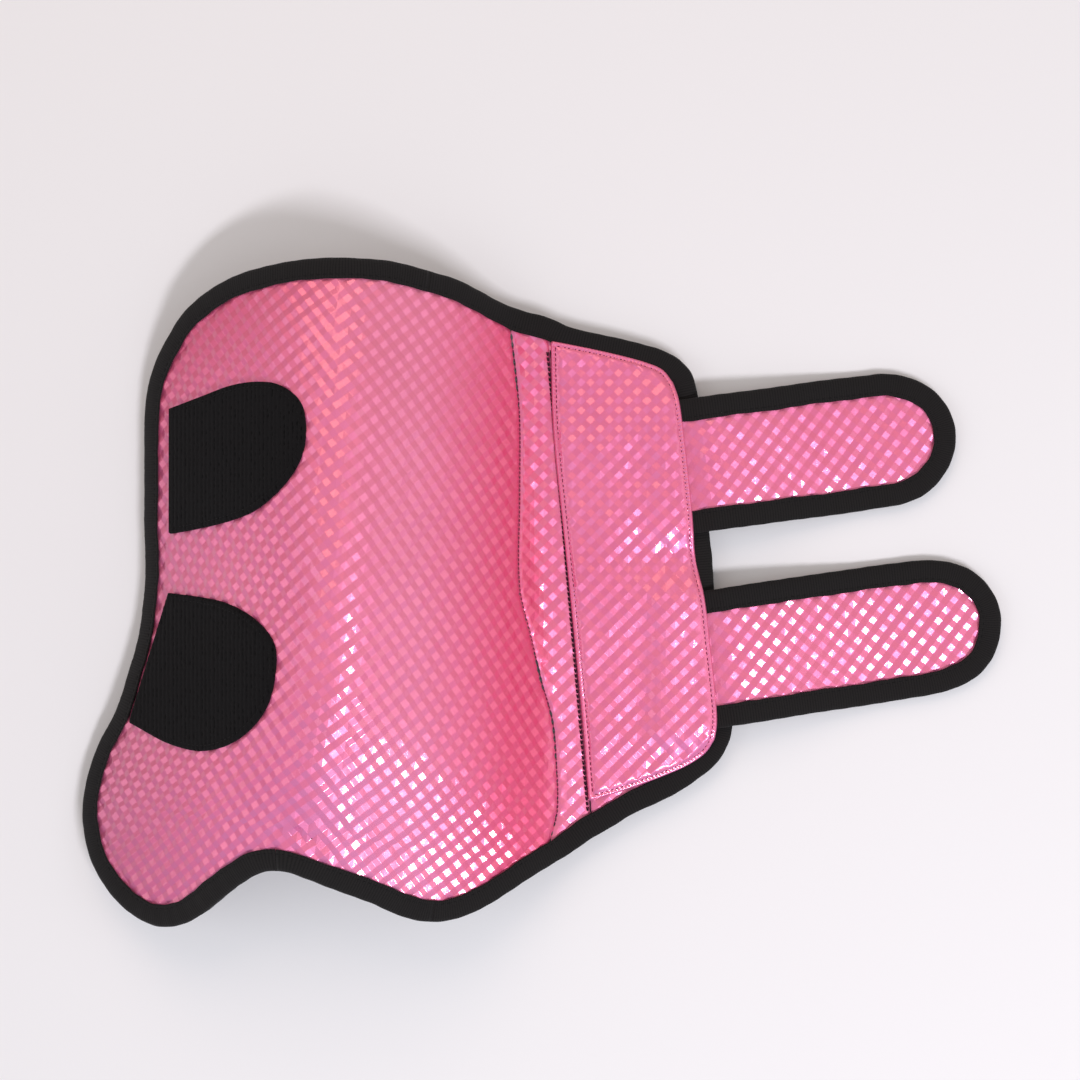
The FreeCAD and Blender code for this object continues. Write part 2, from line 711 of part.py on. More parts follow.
# ------------------------------------------------------------------- straps
STRAP_HALF = 1.85        # half thickness of a strap
STRAP_TOP = STRAP_HALF - TAPE_T - TAPE_PLAY     # strap layers end here, both ways
STRAP_FACE_T = 0.6       # thickness of the strap's upper layer
STRAP_CORE_HALF = 0.45   # half thickness of the core
STRAP_LINING_TOP = -0.55
STRAP_STITCH_LIFT = 0.05
STRAP_AXIS_Z = 8.9       # height of the strap fold axes
STRAP_REST_Z = 2.16      # mid height of a strap where it lies on the table
STRAP_SAG_L = 62.0       # length over which a strap sags down to the table
STRAP_START = 2.0        # free strap begins this far beyond its fold axis
HOOK_START = STRAP_SAG_L + 1.5                  # hook tape begins beyond the fold axis
HOOK_INSET = TAPE_W + 0.6
HOOK_OUT = 2.15          # hook face below the strap's mid surface
HOOK_PLAY = 0.03         # play between hook tape and strap lining
ROOT_LOW = 0.80          # sewn-down strap root, underside above the flap skin
ROOT_HIGH = 2.60         # sewn-down strap root, top above the flap skin

# free strap outlines, (x, y) clockwise: north edge, round end, south edge
UPPER_STRAP = [
    (60.83, 54.86), (67.38, 55.83), (76.61, 56.98), (85.86, 58.13), (95.48, 59.48),
    (104.72, 60.83), (113.96, 61.98), (123.20, 62.95), (132.83, 63.91), (142.06, 62.37),
    (150.53, 58.13), (156.69, 51.20), (159.78, 42.35), (159.00, 32.73), (154.77, 24.25),
    (148.22, 17.71), (139.37, 13.86), (130.13, 12.32), (120.89, 10.78), (111.27, 9.43),
    (102.03, 8.28), (92.78, 7.12), (83.16, 5.78), (73.92, 4.62), (62.76, 3.08),
]
LOWER_STRAP = [
    (66.22, -19.25), (72.77, -18.21), (82.00, -16.75), (91.25, -15.40), (100.48, -14.05),
    (109.73, -12.71), (119.35, -11.36), (128.59, -10.01), (137.83, -8.86), (147.07, -7.89),
    (156.69, -8.47), (165.55, -11.55), (172.48, -17.71), (176.72, -26.18), (177.10, -35.42),
    (174.41, -44.66), (168.63, -51.98), (160.55, -56.59), (151.31, -59.29), (142.06, -60.83),
    (132.83, -62.37), (123.20, -63.91), (113.96, -65.26), (104.72, -66.61), (95.48, -68.14),
    (86.24, -69.69), (70.84, -72.00),
]
# fold: line from north to south; corners: north-east and south-east corner of the grid;
# root: north-west, north-east, south-east and south-west corner
STRAPS = {
    "upper": dict(
        outline=UPPER_STRAP,
        fold=((63.22, 55.83), (67.68, 3.85)),
        corners=((149.77, 58.91), (154.38, 23.48)),
        root=((44.27, 52.75), (60.95, 54.86), (65.37, 3.46), (49.28, 1.35))),
    "lower": dict(
        outline=LOWER_STRAP,
        fold=((69.61, -18.09), (76.77, -71.23)),
        corners=((166.32, -12.32), (171.33, -49.28)),
        root=((52.75, -20.98), (67.3, -19.06), (74.42, -71.42), (57.75, -73.73))),
}


def strap_surface(fold):
    """Mid surface of a strap, sagging from its fold axis to the table."""
    def height(x, y):
        return STRAP_AXIS_Z - (STRAP_AXIS_Z - STRAP_REST_Z) * ease(
            side_of(fold, (x, y)) / STRAP_SAG_L)
    return Surface(height)


def hook_tape(run):
    """Flat plate under the part of a strap that lies flat, proud of the binding."""
    curve = Part.BSplineCurve()
    curve.interpolate([stand(point, STRAP_REST_Z) + Vector(0, 0, -HOOK_OUT)
                       for point in resample(run, 29)])
    closing = Part.makeLine(curve.value(curve.LastParameter), curve.value(curve.FirstParameter))
    face = Part.Face(Part.Wire([curve.toShape(), closing]))
    return face.extrude(Vector(0, 0, HOOK_OUT - STRAP_TOP - HOOK_PLAY))


def strap_root(root):
    """Sewn-down root, under the pad cover and over the flap binding."""
    northwest, northeast, southeast, southwest = root
    grid = patch_grid(([southwest, southeast], [northwest, northeast],
                       [southwest, northwest], [southeast, northeast]), 9, 9)
    return slab(BODY, grid, ROOT_LOW, ROOT_HIGH)


def make_strap(name, outline, fold, corners, root):
    surface = strap_surface(fold)
    whole = spline_points(outline)
    whole += resample([whole[-1], whole[0]], 12)[1:-1]      # close the west end

    def beyond_fold(curve, gap):
        return split_closed(curve, [east_of(fold, gap)])[0]

    run = beyond_fold(inset(surface, whole, LAYER_INSET), STRAP_START)
    grid = east_grid(run, corners, 17, 9)
    for tag, low, high in (("face", STRAP_TOP - STRAP_FACE_T, STRAP_TOP),
                           ("core", -STRAP_CORE_HALF, STRAP_CORE_HALF),
                           ("lining", -STRAP_TOP, STRAP_LINING_TOP)):
        export(name + "_strap_" + tag, slab(surface, grid, low, high))
    export(name + "_strap_binding",
           binding(surface, beyond_fold(whole, STRAP_START), -STRAP_TOP, STRAP_TOP, spacing=4.0))
    stitch_run = beyond_fold(inset(surface, whole, STITCH_INSET), STRAP_START)
    export(name + "_strap_stitching", thread(surface, stitch_run, STRAP_HALF + STRAP_STITCH_LIFT))
    export(name + "_hook_tape",
           hook_tape(beyond_fold(inset(surface, whole, HOOK_INSET), HOOK_START)))
    export(name + "_strap_root", strap_root(root))


os.makedirs("parts", exist_ok=True)
make_wing()
make_shell()
make_flap()
make_pad()
make_patches()
for strap_name, strap in STRAPS.items():
    make_strap(strap_name, **strap)
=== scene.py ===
import bpy
import json
import math
import numpy as np
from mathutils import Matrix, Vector
from mathutils.geometry import delaunay_2d_cdt
from mathutils.kdtree import KDTree

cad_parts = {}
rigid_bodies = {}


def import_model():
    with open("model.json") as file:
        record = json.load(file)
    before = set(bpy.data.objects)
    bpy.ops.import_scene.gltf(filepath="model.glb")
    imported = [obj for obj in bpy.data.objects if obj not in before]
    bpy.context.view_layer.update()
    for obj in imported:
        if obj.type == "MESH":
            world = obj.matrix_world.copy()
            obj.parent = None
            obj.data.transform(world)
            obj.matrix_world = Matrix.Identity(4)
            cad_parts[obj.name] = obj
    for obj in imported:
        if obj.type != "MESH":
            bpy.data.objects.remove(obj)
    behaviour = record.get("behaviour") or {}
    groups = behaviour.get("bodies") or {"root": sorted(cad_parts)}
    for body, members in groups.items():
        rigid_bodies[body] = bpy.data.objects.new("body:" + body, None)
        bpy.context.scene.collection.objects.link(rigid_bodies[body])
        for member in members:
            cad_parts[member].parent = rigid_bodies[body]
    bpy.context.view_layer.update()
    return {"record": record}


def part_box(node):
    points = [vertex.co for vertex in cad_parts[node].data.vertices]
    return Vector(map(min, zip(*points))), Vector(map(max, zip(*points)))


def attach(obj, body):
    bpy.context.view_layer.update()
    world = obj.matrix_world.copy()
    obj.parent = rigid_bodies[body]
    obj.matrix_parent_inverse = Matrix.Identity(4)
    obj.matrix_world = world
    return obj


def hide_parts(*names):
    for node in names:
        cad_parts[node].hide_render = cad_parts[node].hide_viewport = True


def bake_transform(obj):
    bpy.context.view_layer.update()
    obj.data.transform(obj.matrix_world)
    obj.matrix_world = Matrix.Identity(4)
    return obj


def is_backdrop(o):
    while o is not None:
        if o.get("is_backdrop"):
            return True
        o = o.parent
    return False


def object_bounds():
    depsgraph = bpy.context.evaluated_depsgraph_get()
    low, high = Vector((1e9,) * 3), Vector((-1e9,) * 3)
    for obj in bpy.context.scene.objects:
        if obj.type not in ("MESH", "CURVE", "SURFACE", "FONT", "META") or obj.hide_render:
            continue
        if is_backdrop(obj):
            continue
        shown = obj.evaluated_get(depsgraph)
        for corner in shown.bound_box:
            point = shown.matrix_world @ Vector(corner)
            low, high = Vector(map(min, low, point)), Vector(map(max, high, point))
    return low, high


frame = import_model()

MM = 0.001

# ------------------------------------------------------------------ drafting
# Same drafted outlines and outer surface as the frame, in millimetres.
STATION = 600.0
SHIFT = np.array((-0.915, 20.551, -0.006))
SKIN_T, FOAM_T, LINING_T, PLAY = 0.8, 3.0, 0.8, 0.1
TAPE_T, TAPE_W, TAPE_PLAY, EDGE_PLAY = 0.58, 8.5, 0.12, 0.15
FLAP_Z, FLAP_EDGE_Z, BASE_Z, VALLEY_R = 7.7, 6.0, 5.4, 3.7
PATCH_LIFT, PATCH_T = 0.12, 1.4
PAD_BASE, PAD_T = 2.75, 0.8
STRAP_HALF, STRAP_AXIS_Z, STRAP_REST_Z, STRAP_SAG_L = 1.85, 8.9, 2.16, 62.0
LOW = -(SKIN_T + FOAM_T + LINING_T + 2 * PLAY)
SECTION_T = (0.0, 0.1, 0.2, 0.3, 0.45, 0.6, 0.75, 0.9, 1.0)
SECTION_RIGHT = (0.0, 0.34, 0.60, 0.72, 0.77, 0.82, 0.92, 1.05, 1.10)
SECTION_LEFT = (0.0, 0.30, 0.54, 0.70, 0.86, 0.93, 0.96, 0.99, 1.00)
CREST_HEIGHT = [
    (-150.15, 41.58), (-130.90, 47.74), (-119.35, 51.59), (-100.10, 57.37), (-84.70, 60.83), (-61.60, 62.76), 
    (-23.10, 61.60), (15.40, 57.75), (53.90, 51.98), (73.15, 48.12), (92.40, 43.51), (108.57, 38.50), 
    (119.35, 34.65),
]
CREST_LINE = [
    (-150.15, -93.94), (-119.35, -90.48), (-80.85, -83.93), (-23.10, -80.85), (53.90, -79.70), (108.57, -78.92), 
    (119.35, -78.54),
]
BASE_LINE = [
    (-150.15, -180.18), (-123.20, -178.64), (-96.25, -175.56), (-69.30, -166.32), (-46.20, -157.85), (-23.10, -152.46), 
    (15.40, -152.08), (61.60, -151.69), (92.40, -150.15), (111.65, -149.00), (119.35, -147.84),
]
WING_FOLD_LINE = [
    (-75.08, 115.50), (-92.40, -138.60),
]
FLAP_FOLD_LINE = [
    (-11.55, 85.47), (7.70, -119.35),
]
OUTLINE = [
    (-87.39, 108.57), (-77.77, 108.95), (-68.53, 108.57), (-58.91, 107.80), (-50.05, 105.88), (-40.81, 103.18), (-31.96, 100.48), 
    (-23.48, 96.25), (-15.02, 91.63), (-6.16, 88.17), (2.70, 85.86), (11.55, 82.00), (20.79, 79.70), (30.03, 77.77), 
    (39.27, 75.46), (46.97, 73.15), (53.90, 69.30), (58.52, 63.91), (60.45, 56.98), (61.98, 48.12), (63.14, 36.58), 
    (64.30, 19.25), (65.06, 3.85), (66.22, -6.16), (66.99, -18.09), (68.53, -30.80), (70.45, -44.27), (72.77, -57.75), 
    (74.31, -68.53), (72.77, -77.77), (68.14, -85.86), (60.83, -92.02), (52.75, -97.41), (44.27, -101.64), (35.80, -105.49), 
    (27.72, -110.50), (19.64, -115.12), (11.94, -120.51), (3.85, -125.51), (-4.24, -130.52), (-12.32, -135.91), (-19.64, -140.53), 
    (-28.49, -144.76), (-37.73, -147.07), (-47.36, -146.69), (-56.21, -143.99), (-64.68, -140.14), (-73.15, -137.06), (-81.62, -133.98), 
    (-90.48, -130.52), (-98.95, -127.82), (-107.03, -128.21), (-115.12, -132.44), (-122.81, -138.22), (-130.13, -143.99), (-138.22, -148.22), 
    (-147.07, -149.00), (-155.93, -145.15), (-163.24, -138.99), (-169.02, -131.28), (-173.25, -122.81), (-175.56, -113.58), (-176.33, -104.34), 
    (-175.18, -94.71), (-172.87, -85.86), (-169.40, -77.00), (-164.78, -68.53), (-161.31, -60.06), (-158.62, -50.82), (-155.93, -42.35), 
    (-154.00, -33.11), (-152.84, -23.87), (-152.08, -14.63), (-152.08, -5.00), (-152.46, 4.24), (-152.46, 13.86), (-152.46, 23.48), 
    (-152.46, 33.11), (-152.46, 42.35), (-152.08, 51.98), (-150.53, 61.22), (-147.46, 70.45), (-143.22, 78.54), (-138.22, 86.62), 
    (-131.67, 93.17), (-123.97, 98.56), (-115.12, 102.80), (-105.88, 105.49), (-96.64, 107.42),
]
UPPER_PATCH = [
    (-142.45, 50.44), (-129.36, 55.44), (-118.97, 59.29), (-108.95, 60.83), (-100.10, 59.68), (-92.40, 53.52), (-90.09, 44.27), 
    (-91.63, 32.34), (-98.17, 21.56), (-109.34, 11.55), (-119.35, 7.32), (-133.59, 3.85), (-142.45, 2.31),
]
LOWER_PATCH = [
    (-142.64, -20.41), (-130.90, -21.95), (-120.89, -24.25), (-109.34, -30.80), (-102.41, -39.66), (-101.64, -49.28), (-105.49, -65.06), 
    (-115.89, -76.61), (-128.59, -81.23), (-141.30, -78.92), (-157.85, -70.26),
]
PAD_LEFT = [
    (4.08, 76.77), (5.00, 43.51), (9.39, -0.39), (13.36, -40.04), (16.55, -73.15), (18.67, -100.48),
]
PAD_TOP = [
    (4.08, 76.77), (22.33, 73.15), (40.43, 68.53), (47.36, 65.45), (51.20, 60.45),
]
PAD_RIGHT = [
    (51.20, 60.45), (53.13, 53.90), (55.44, 36.73), (58.02, 12.86), (59.68, -5.78), (63.14, -23.10), (65.06, -40.04), 
    (66.99, -57.37), (67.76, -69.30), (66.99, -76.23),
]
PAD_BOTTOM = [
    (18.67, -100.48), (33.88, -95.87), (48.51, -90.48), (57.75, -86.24), (63.91, -81.62), (66.99, -76.23),
]
UPPER_STRAP_TOP = [
    (60.83, 54.86), (67.38, 55.83), (76.61, 56.98), (85.86, 58.13), (95.48, 59.48), (104.72, 60.83), (113.96, 61.98), 
    (123.20, 62.95), (132.83, 63.91),
]
UPPER_STRAP_TIP = [
    (132.83, 63.91), (142.06, 62.37), (150.53, 58.13), (156.69, 51.20), (159.78, 42.35), (159.00, 32.73), (154.77, 24.25), 
    (148.22, 17.71), (139.37, 13.86),
]
UPPER_STRAP_BOT = [
    (139.37, 13.86), (130.13, 12.32), (120.89, 10.78), (111.27, 9.43), (102.03, 8.28), (92.78, 7.12), (83.16, 5.78), 
    (73.92, 4.62), (62.76, 3.08),
]
LOWER_STRAP_TOP = [
    (66.22, -19.25), (72.77, -18.21), (82.00, -16.75), (91.25, -15.40), (100.48, -14.05), (109.73, -12.71), (119.35, -11.36), 
    (128.59, -10.01), (137.83, -8.86), (147.07, -7.89),
]
LOWER_STRAP_TIP = [
    (147.07, -7.89), (156.69, -8.47), (165.55, -11.55), (172.48, -17.71), (176.72, -26.18), (177.10, -35.42), (174.41, -44.66), 
    (168.63, -51.98), (160.55, -56.59), (151.31, -59.29),
]
LOWER_STRAP_BOT = [
    (151.31, -59.29), (142.06, -60.83), (132.83, -62.37), (123.20, -63.91), (113.96, -65.26), (104.72, -66.61), (95.48, -68.14), 
    (86.24, -69.69), (70.84, -72.00),
]
SEAM_LINE = [
    (-10.78, 79.70), (-7.70, 50.05), (-7.32, 18.09), (-7.32, -17.71), (-3.08, -36.58), (0.77, -53.52), (5.00, -69.69), 
    (6.54, -86.62), (6.93, -103.95), (4.62, -115.50),
]
STRIP_LINE = ((2.89, 80.85), (19.25, -105.88))
UPPER_FOLD_LINE = ((63.22, 55.83), (67.68, 3.85))
LOWER_FOLD_LINE = ((69.61, -18.09), (76.77, -71.23))


def herm(table, x):
    t = np.asarray(table, float)
    X, Y = t[:, 0], t[:, 1]
    x = np.asarray(x, float)
    m = np.empty(len(X))
    m[0] = (Y[1] - Y[0]) / (X[1] - X[0])
    m[-1] = (Y[-1] - Y[-2]) / (X[-1] - X[-2])
    m[1:-1] = (Y[2:] - Y[:-2]) / (X[2:] - X[:-2])
    i = np.clip(np.searchsorted(X, x) - 1, 0, len(X) - 2)
    h = X[i + 1] - X[i]
    s = (x - X[i]) / h
    sc = np.clip(s, 0, 1)
    s2, s3 = sc * sc, sc ** 3
    y = ((2 * s3 - 3 * s2 + 1) * Y[i] + (s3 - 2 * s2 + sc) * m[i] * h
         + (-2 * s3 + 3 * s2) * Y[i + 1] + (s3 - s2) * m[i + 1] * h)
    return y + np.where(s < 0, s * h * m[0], 0) + np.where(s > 1, (s - 1) * h * m[-1], 0)


def section_table(slopes):
    x = np.linspace(0, 1, 81)
    s = herm(list(zip(SECTION_T, slopes)), x)
    g = np.concatenate(([0], np.cumsum(0.5 * (s[1:] + s[:-1]) / 80)))
    return s / g[-1], g / g[-1]


RIGHT_S, RIGHT_G = section_table(SECTION_RIGHT)
LEFT_S, LEFT_G = section_table(SECTION_LEFT)


def drop(t, S, G):
    k = np.clip((t * 80).astype(int), 0, 79)
    d = t - k / 80.0
    inner = G[k] + S[k] * d + 0.5 * (S[k + 1] - S[k]) * 80 * d * d
    return np.where(t >= 1, G[-1] + S[-1] * (t - 1), inner)


def line_p(line, q):
    (p0, q0), (p1, q1) = line
    return p0 + (p1 - p0) * (q - q0) / (q1 - q0)


def side_of(line, p, q):
    (p0, q0), (p1, q1) = line
    dx, dy = p1 - p0, q1 - q0
    return ((q - q0) * dx - (p - p0) * dy) / math.hypot(dx, dy)


def sway(p, q):
    """Slow unevenness of soft, hand-sewn foam."""
    return (0.30 * np.sin(p * 0.071 + q * 0.033 + 1.1) * np.sin(q * 0.058 - p * 0.017 + 0.4)
            + 0.16 * np.sin(p * 0.15 - q * 0.09 + 2.0) * np.sin(q * 0.125 + p * 0.05))


def height(p, q):
    h = herm(CREST_HEIGHT, q)
    pc = herm(CREST_LINE, q)
    pl = herm(BASE_LINE, q)
    left = h - (h - BASE_Z) * drop(np.maximum(pc - p, 0) / (pc - pl), LEFT_S, LEFT_G)
    pv = line_p(FLAP_FOLD_LINE, q)
    dome = h - (h - FLAP_Z) * drop(np.maximum(p - pc, 0) / (pv - pc), RIGHT_S, RIGHT_G)
    u = np.clip((p - pv) / 70.0, 0, 1)
    flap = FLAP_Z + (FLAP_EDGE_Z - FLAP_Z) * u * u * (3 - 2 * u)
    right = 0.5 * (dome + flap + np.sqrt((dome - flap) ** 2 + VALLEY_R ** 2))
    z = np.where(p < pc, left, right)
    # a soft dent in the skin beside the notch
    d2 = ((p + 85.5) / 13.0) ** 2 + ((q + 113.0) / 7.0) ** 2
    z = z - 1.3 * np.exp(-d2)
    # and a fold line running along it, a little inside the binding
    t = np.clip((p + 108.0) / 34.0, 0, 1)
    off = (q + 112.6) + 4.0 * t + 8.5 * t * t - 2.6 * np.sin(math.pi * t)
    z = z - 0.85 * np.exp(-(off / 1.5) ** 2) * np.sin(math.pi * t) ** 2 + 0.45 * np.exp(-((off - 3.6) / 1.8) ** 2) * np.sin(math.pi * t) ** 2
    return z + sway(p, q) * np.clip((z - 8.0) / 12.0, 0, 1)


def stand(p, q, z):
    f = 1.0 - z / STATION
    return np.stack((p * f, q * f, z), -1)


class Surface:
    def __init__(self, fn):
        self.fn = fn

    def at(self, p, q):
        return stand(p, q, self.fn(p, q))

    def jac(self, p, q, e=0.25):
        return ((self.at(p + e, q) - self.at(p - e, q)) * (0.5 / e),
                (self.at(p, q + e) - self.at(p, q - e)) * (0.5 / e))

    def normal(self, p, q):
        a, b = self.jac(p, q)
        n = np.cross(a, b)
        return n / np.linalg.norm(n, axis=-1, keepdims=True)

    def off(self, p, q, w):
        return self.at(p, q) + self.normal(p, q) * np.asarray(w)[..., None]

    def march(self, p, q, d, dist):
        n = max(1, int(abs(dist) + 0.999))
        d = d.copy()
        for _ in range(n):
            nn = self.normal(p, q)
            d = d - nn * np.sum(d * nn, -1, keepdims=True)
            d /= np.linalg.norm(d, axis=-1, keepdims=True)
            a, b = self.jac(p, q)
            aa, ab, bb = np.sum(a * a, -1), np.sum(a * b, -1), np.sum(b * b, -1)
            s = d * (dist / n)
            ad, bd = np.sum(a * s, -1), np.sum(b * s, -1)
            det = aa * bb - ab * ab
            p = p + (ad * bb - bd * ab) / det
            q = q + (bd * aa - ad * ab) / det
        return p, q


BODY = Surface(height)


def spline_points(pts, closed, per=8):
    P = np.asarray(pts, float)
    n = len(P)
    out = []
    for i in range(n if closed else n - 1):
        b, c = P[i], P[(i + 1) % n]
        a = P[i - 1] if (closed or i > 0) else 2 * b - c
        d = P[(i + 2) % n] if (closed or i + 2 < n) else 2 * c - b
        lab, lbc, lcd = (math.sqrt(max(float(np.linalg.norm(v)), 1e-6)) for v in (b - a, c - b, d - c))
        m1 = ((b - a) / lab - (c - a) / (lab + lbc) + (c - b) / lbc) * lbc
        m2 = ((c - b) / lbc - (d - b) / (lbc + lcd) + (d - c) / lcd) * lbc
        t = (np.arange(per) / per)[:, None]
        t2, t3 = t * t, t ** 3
        out.append((2 * t3 - 3 * t2 + 1) * b + (t3 - 2 * t2 + t) * m1
                   + (-2 * t3 + 3 * t2) * c + (t3 - t2) * m2)
    out = np.concatenate(out)
    return out if closed else np.concatenate((out, P[-1:]))


def cumlen(P):
    return np.concatenate(([0], np.cumsum(np.linalg.norm(np.diff(P, axis=0), axis=1))))


def resample(P, n):
    P = np.asarray(P, float)
    s = cumlen(P)
    x = np.linspace(0, s[-1], n)
    return np.stack([np.interp(x, s, P[:, k]) for k in range(P.shape[1])], -1)


def even(S, P, step):
    """Resample an open plan run evenly by its real length on the surface."""
    P = resample(P, max(8, int(cumlen(np.asarray(P))[-1] / 0.5)))
    X = S.at(P[:, 0], P[:, 1])
    s = cumlen(X)
    n = max(4, int(round(s[-1] / step)) + 1)
    x = np.linspace(0, s[-1], n)
    return np.stack([np.interp(x, s, P[:, k]) for k in (0, 1)], -1)


def split_closed(P, test, least=6.0):
    """Runs of a closed curve where test(p, q) > 0, with exact ends."""
    f = test(P[:, 0], P[:, 1])
    n = len(P)
    start = int(np.argmax(f <= 0))
    runs, cur = [], None
    for k in range(1, n + 1):
        a, b = (start + k - 1) % n, (start + k) % n
        if f[a] <= 0 < f[b]:
            t = f[a] / (f[a] - f[b])
            cur = [P[a] + (P[b] - P[a]) * t, P[b]]
        elif f[a] > 0 and f[b] > 0:
            cur.append(P[b])
        elif f[a] > 0 >= f[b]:
            t = f[a] / (f[a] - f[b])
            cur.append(P[a] + (P[b] - P[a]) * t)
            cur = np.array(cur)
            if cumlen(cur)[-1] > least:
                runs.append(cur)
            cur = None
    return runs


def inward(S, P, closed):
    """Unit direction on the surface, to the right of a clockwise run."""
    if closed:
        a, b = np.roll(P, 1, 0), np.roll(P, -1, 0)
    else:
        a, b = np.vstack((P[:1], P[:-1])), np.vstack((P[1:], P[-1:]))
    t = S.at(b[:, 0], b[:, 1]) - S.at(a[:, 0], a[:, 1])
    d = np.cross(t, S.normal(P[:, 0], P[:, 1]))
    return d / np.linalg.norm(d, axis=1, keepdims=True)


def inset(S, P, a, closed=True):
    p, q = S.march(P[:, 0], P[:, 1], inward(S, P, closed), a)
    return np.stack((p, q), -1)


def inside(P, x, y):
    """Even-odd test of points against a polygon."""
    ok = np.zeros(x.shape, bool)
    a, b = P, np.roll(P, -1, 0)
    for (x0, y0), (x1, y1) in zip(a, b):
        if y0 == y1:
            continue
        hit = (y0 > y) != (y1 > y)
        ok ^= hit & (x < (x1 - x0) * (y - y0) / (y1 - y0) + x0)
    return ok


def distance(P, x, y, closed=True):
    """Plan distance of points to a polyline."""
    best = np.full(x.shape, 1e9)
    b = np.roll(P, -1, 0) if closed else P[1:]
    a = P if closed else P[:-1]
    for (x0, y0), (x1, y1) in zip(a, b):
        dx, dy = x1 - x0, y1 - y0
        l2 = dx * dx + dy * dy
        if l2 < 1e-12:
            continue
        t = np.clip(((x - x0) * dx + (y - y0) * dy) / l2, 0, 1)
        best = np.minimum(best, (x - x0 - t * dx) ** 2 + (y - y0 - t * dy) ** 2)
    return np.sqrt(best)


# ------------------------------------------------------------- sheet meshing
def fill(outline, xs, ys, margin, extra=None, clear=0.0):
    """Quads of the grid xs by ys wherever a whole cell fits inside the outline,
    and triangles between them and the outline.  The outline comes first, then
    the extra points, around which the grid keeps its distance."""
    m = len(outline)
    if extra is not None and len(extra):
        ok = inside(outline, extra[:, 0], extra[:, 1])
        ok[ok] = distance(outline, extra[ok, 0], extra[ok, 1]) > 0.12
        extra = extra[ok]
    else:
        extra = np.zeros((0, 2))
    fixed = np.concatenate((outline, extra))
    m_all = len(fixed)
    X, Y = np.meshgrid(xs, ys, indexing="ij")
    fx, fy = X.ravel(), Y.ravel()
    ok = inside(outline, fx, fy)
    idx = np.nonzero(ok)[0]
    far = distance(outline, fx[idx], fy[idx]) > margin
    idx = idx[far]
    if len(extra) and clear > 0:
        tree = KDTree(len(extra))
        for k, e in enumerate(extra.tolist()):
            tree.insert((e[0], e[1], 0.0), k)
        tree.balance()
        idx = idx[np.array([tree.find((fx[i], fy[i], 0.0))[2] > clear for i in idx.tolist()], bool)]
    node = np.full(X.size, -1)
    node[idx] = np.arange(len(idx)) + m_all
    node = node.reshape(X.shape)
    pts = np.concatenate((fixed, np.stack((fx[idx], fy[idx]), -1)))
    e1 = np.stack((node[:-1, :].ravel(), node[1:, :].ravel()), -1)
    e2 = np.stack((node[:, :-1].ravel(), node[:, 1:].ravel()), -1)
    e = np.concatenate((e1, e2))
    e = e[(e >= 0).all(1)]
    c = [node[:-1, :-1], node[1:, :-1], node[1:, 1:], node[:-1, 1:]]
    full = np.all([v >= 0 for v in c], axis=0)
    quads = np.stack([v[full] for v in c], -1)
    # points of a straight run are nudged apart for the triangulation only
    k = np.arange(len(pts))
    nudge = np.where(k < m_all, 0.004, 0.0)[:, None] * np.stack((np.sin(k * 12.9898), np.sin(k * 78.233)), -1)
    out = delaunay_2d_cdt([Vector(p) for p in (pts + nudge).tolist()], e.tolist(), [list(range(m))], 0, 1e-6, True)
    co = np.array([tuple(v) for v in out[0]])
    back = np.full(len(pts), -1)
    more = []
    new_id = np.empty(len(co), int)
    for k, orig in enumerate(out[3]):
        if len(orig):
            new_id[k] = orig[0]
            back[list(orig)] = k
        else:
            new_id[k] = len(pts) + len(more)
            more.append(co[k])
    tri = new_id[np.array([f for f in out[2] if len(f) == 3])]
    allp = np.concatenate((pts, np.array(more).reshape(-1, 2)))
    near = co[np.argsort(new_id)] if len(co) == len(allp) else allp
    area = np.cross(near[tri[:, 1]] - near[tri[:, 0]], near[tri[:, 2]] - near[tri[:, 0]])
    if area.sum() < 0:
        tri = tri[:, ::-1]
    cen = allp[tri].mean(1)
    i = np.searchsorted(xs, cen[:, 0]) - 1
    j = np.searchsorted(ys, cen[:, 1]) - 1
    on = (i >= 0) & (j >= 0) & (i < len(xs) - 1) & (j < len(ys) - 1)
    on[on] = full[i[on], j[on]]
    tri = tri[~on]
    # triangles outside the outline hold one of its edges backwards, or touch one that does
    T = tri.tolist()
    owner = {}
    for k, f in enumerate(T):
        for u, v in ((f[0], f[1]), (f[1], f[2]), (f[2], f[0])):
            owner[(u, v)] = k
    rim = {((k + 1) % m, k) for k in range(m)}
    todo = [owner[e] for e in rim if e in owner]
    gone = set(todo)
    while todo:
        f = T[todo.pop()]
        for u, v in ((f[0], f[1]), (f[1], f[2]), (f[2], f[0])):
            if (u, v) in rim:
                continue
            k = owner.get((v, u))
            if k is not None and k not in gone:
                gone.add(k)
                todo.append(k)
    tri = np.array([f for k, f in enumerate(T) if k not in gone])
    return allp, [tuple(f) for f in quads.tolist()] + [tuple(f) for f in tri.tolist()]


def ccw(P):
    x, y = P[:, 0], P[:, 1]
    return P if np.sum(x * np.roll(y, -1) - np.roll(x, -1) * y) > 0 else P[::-1]


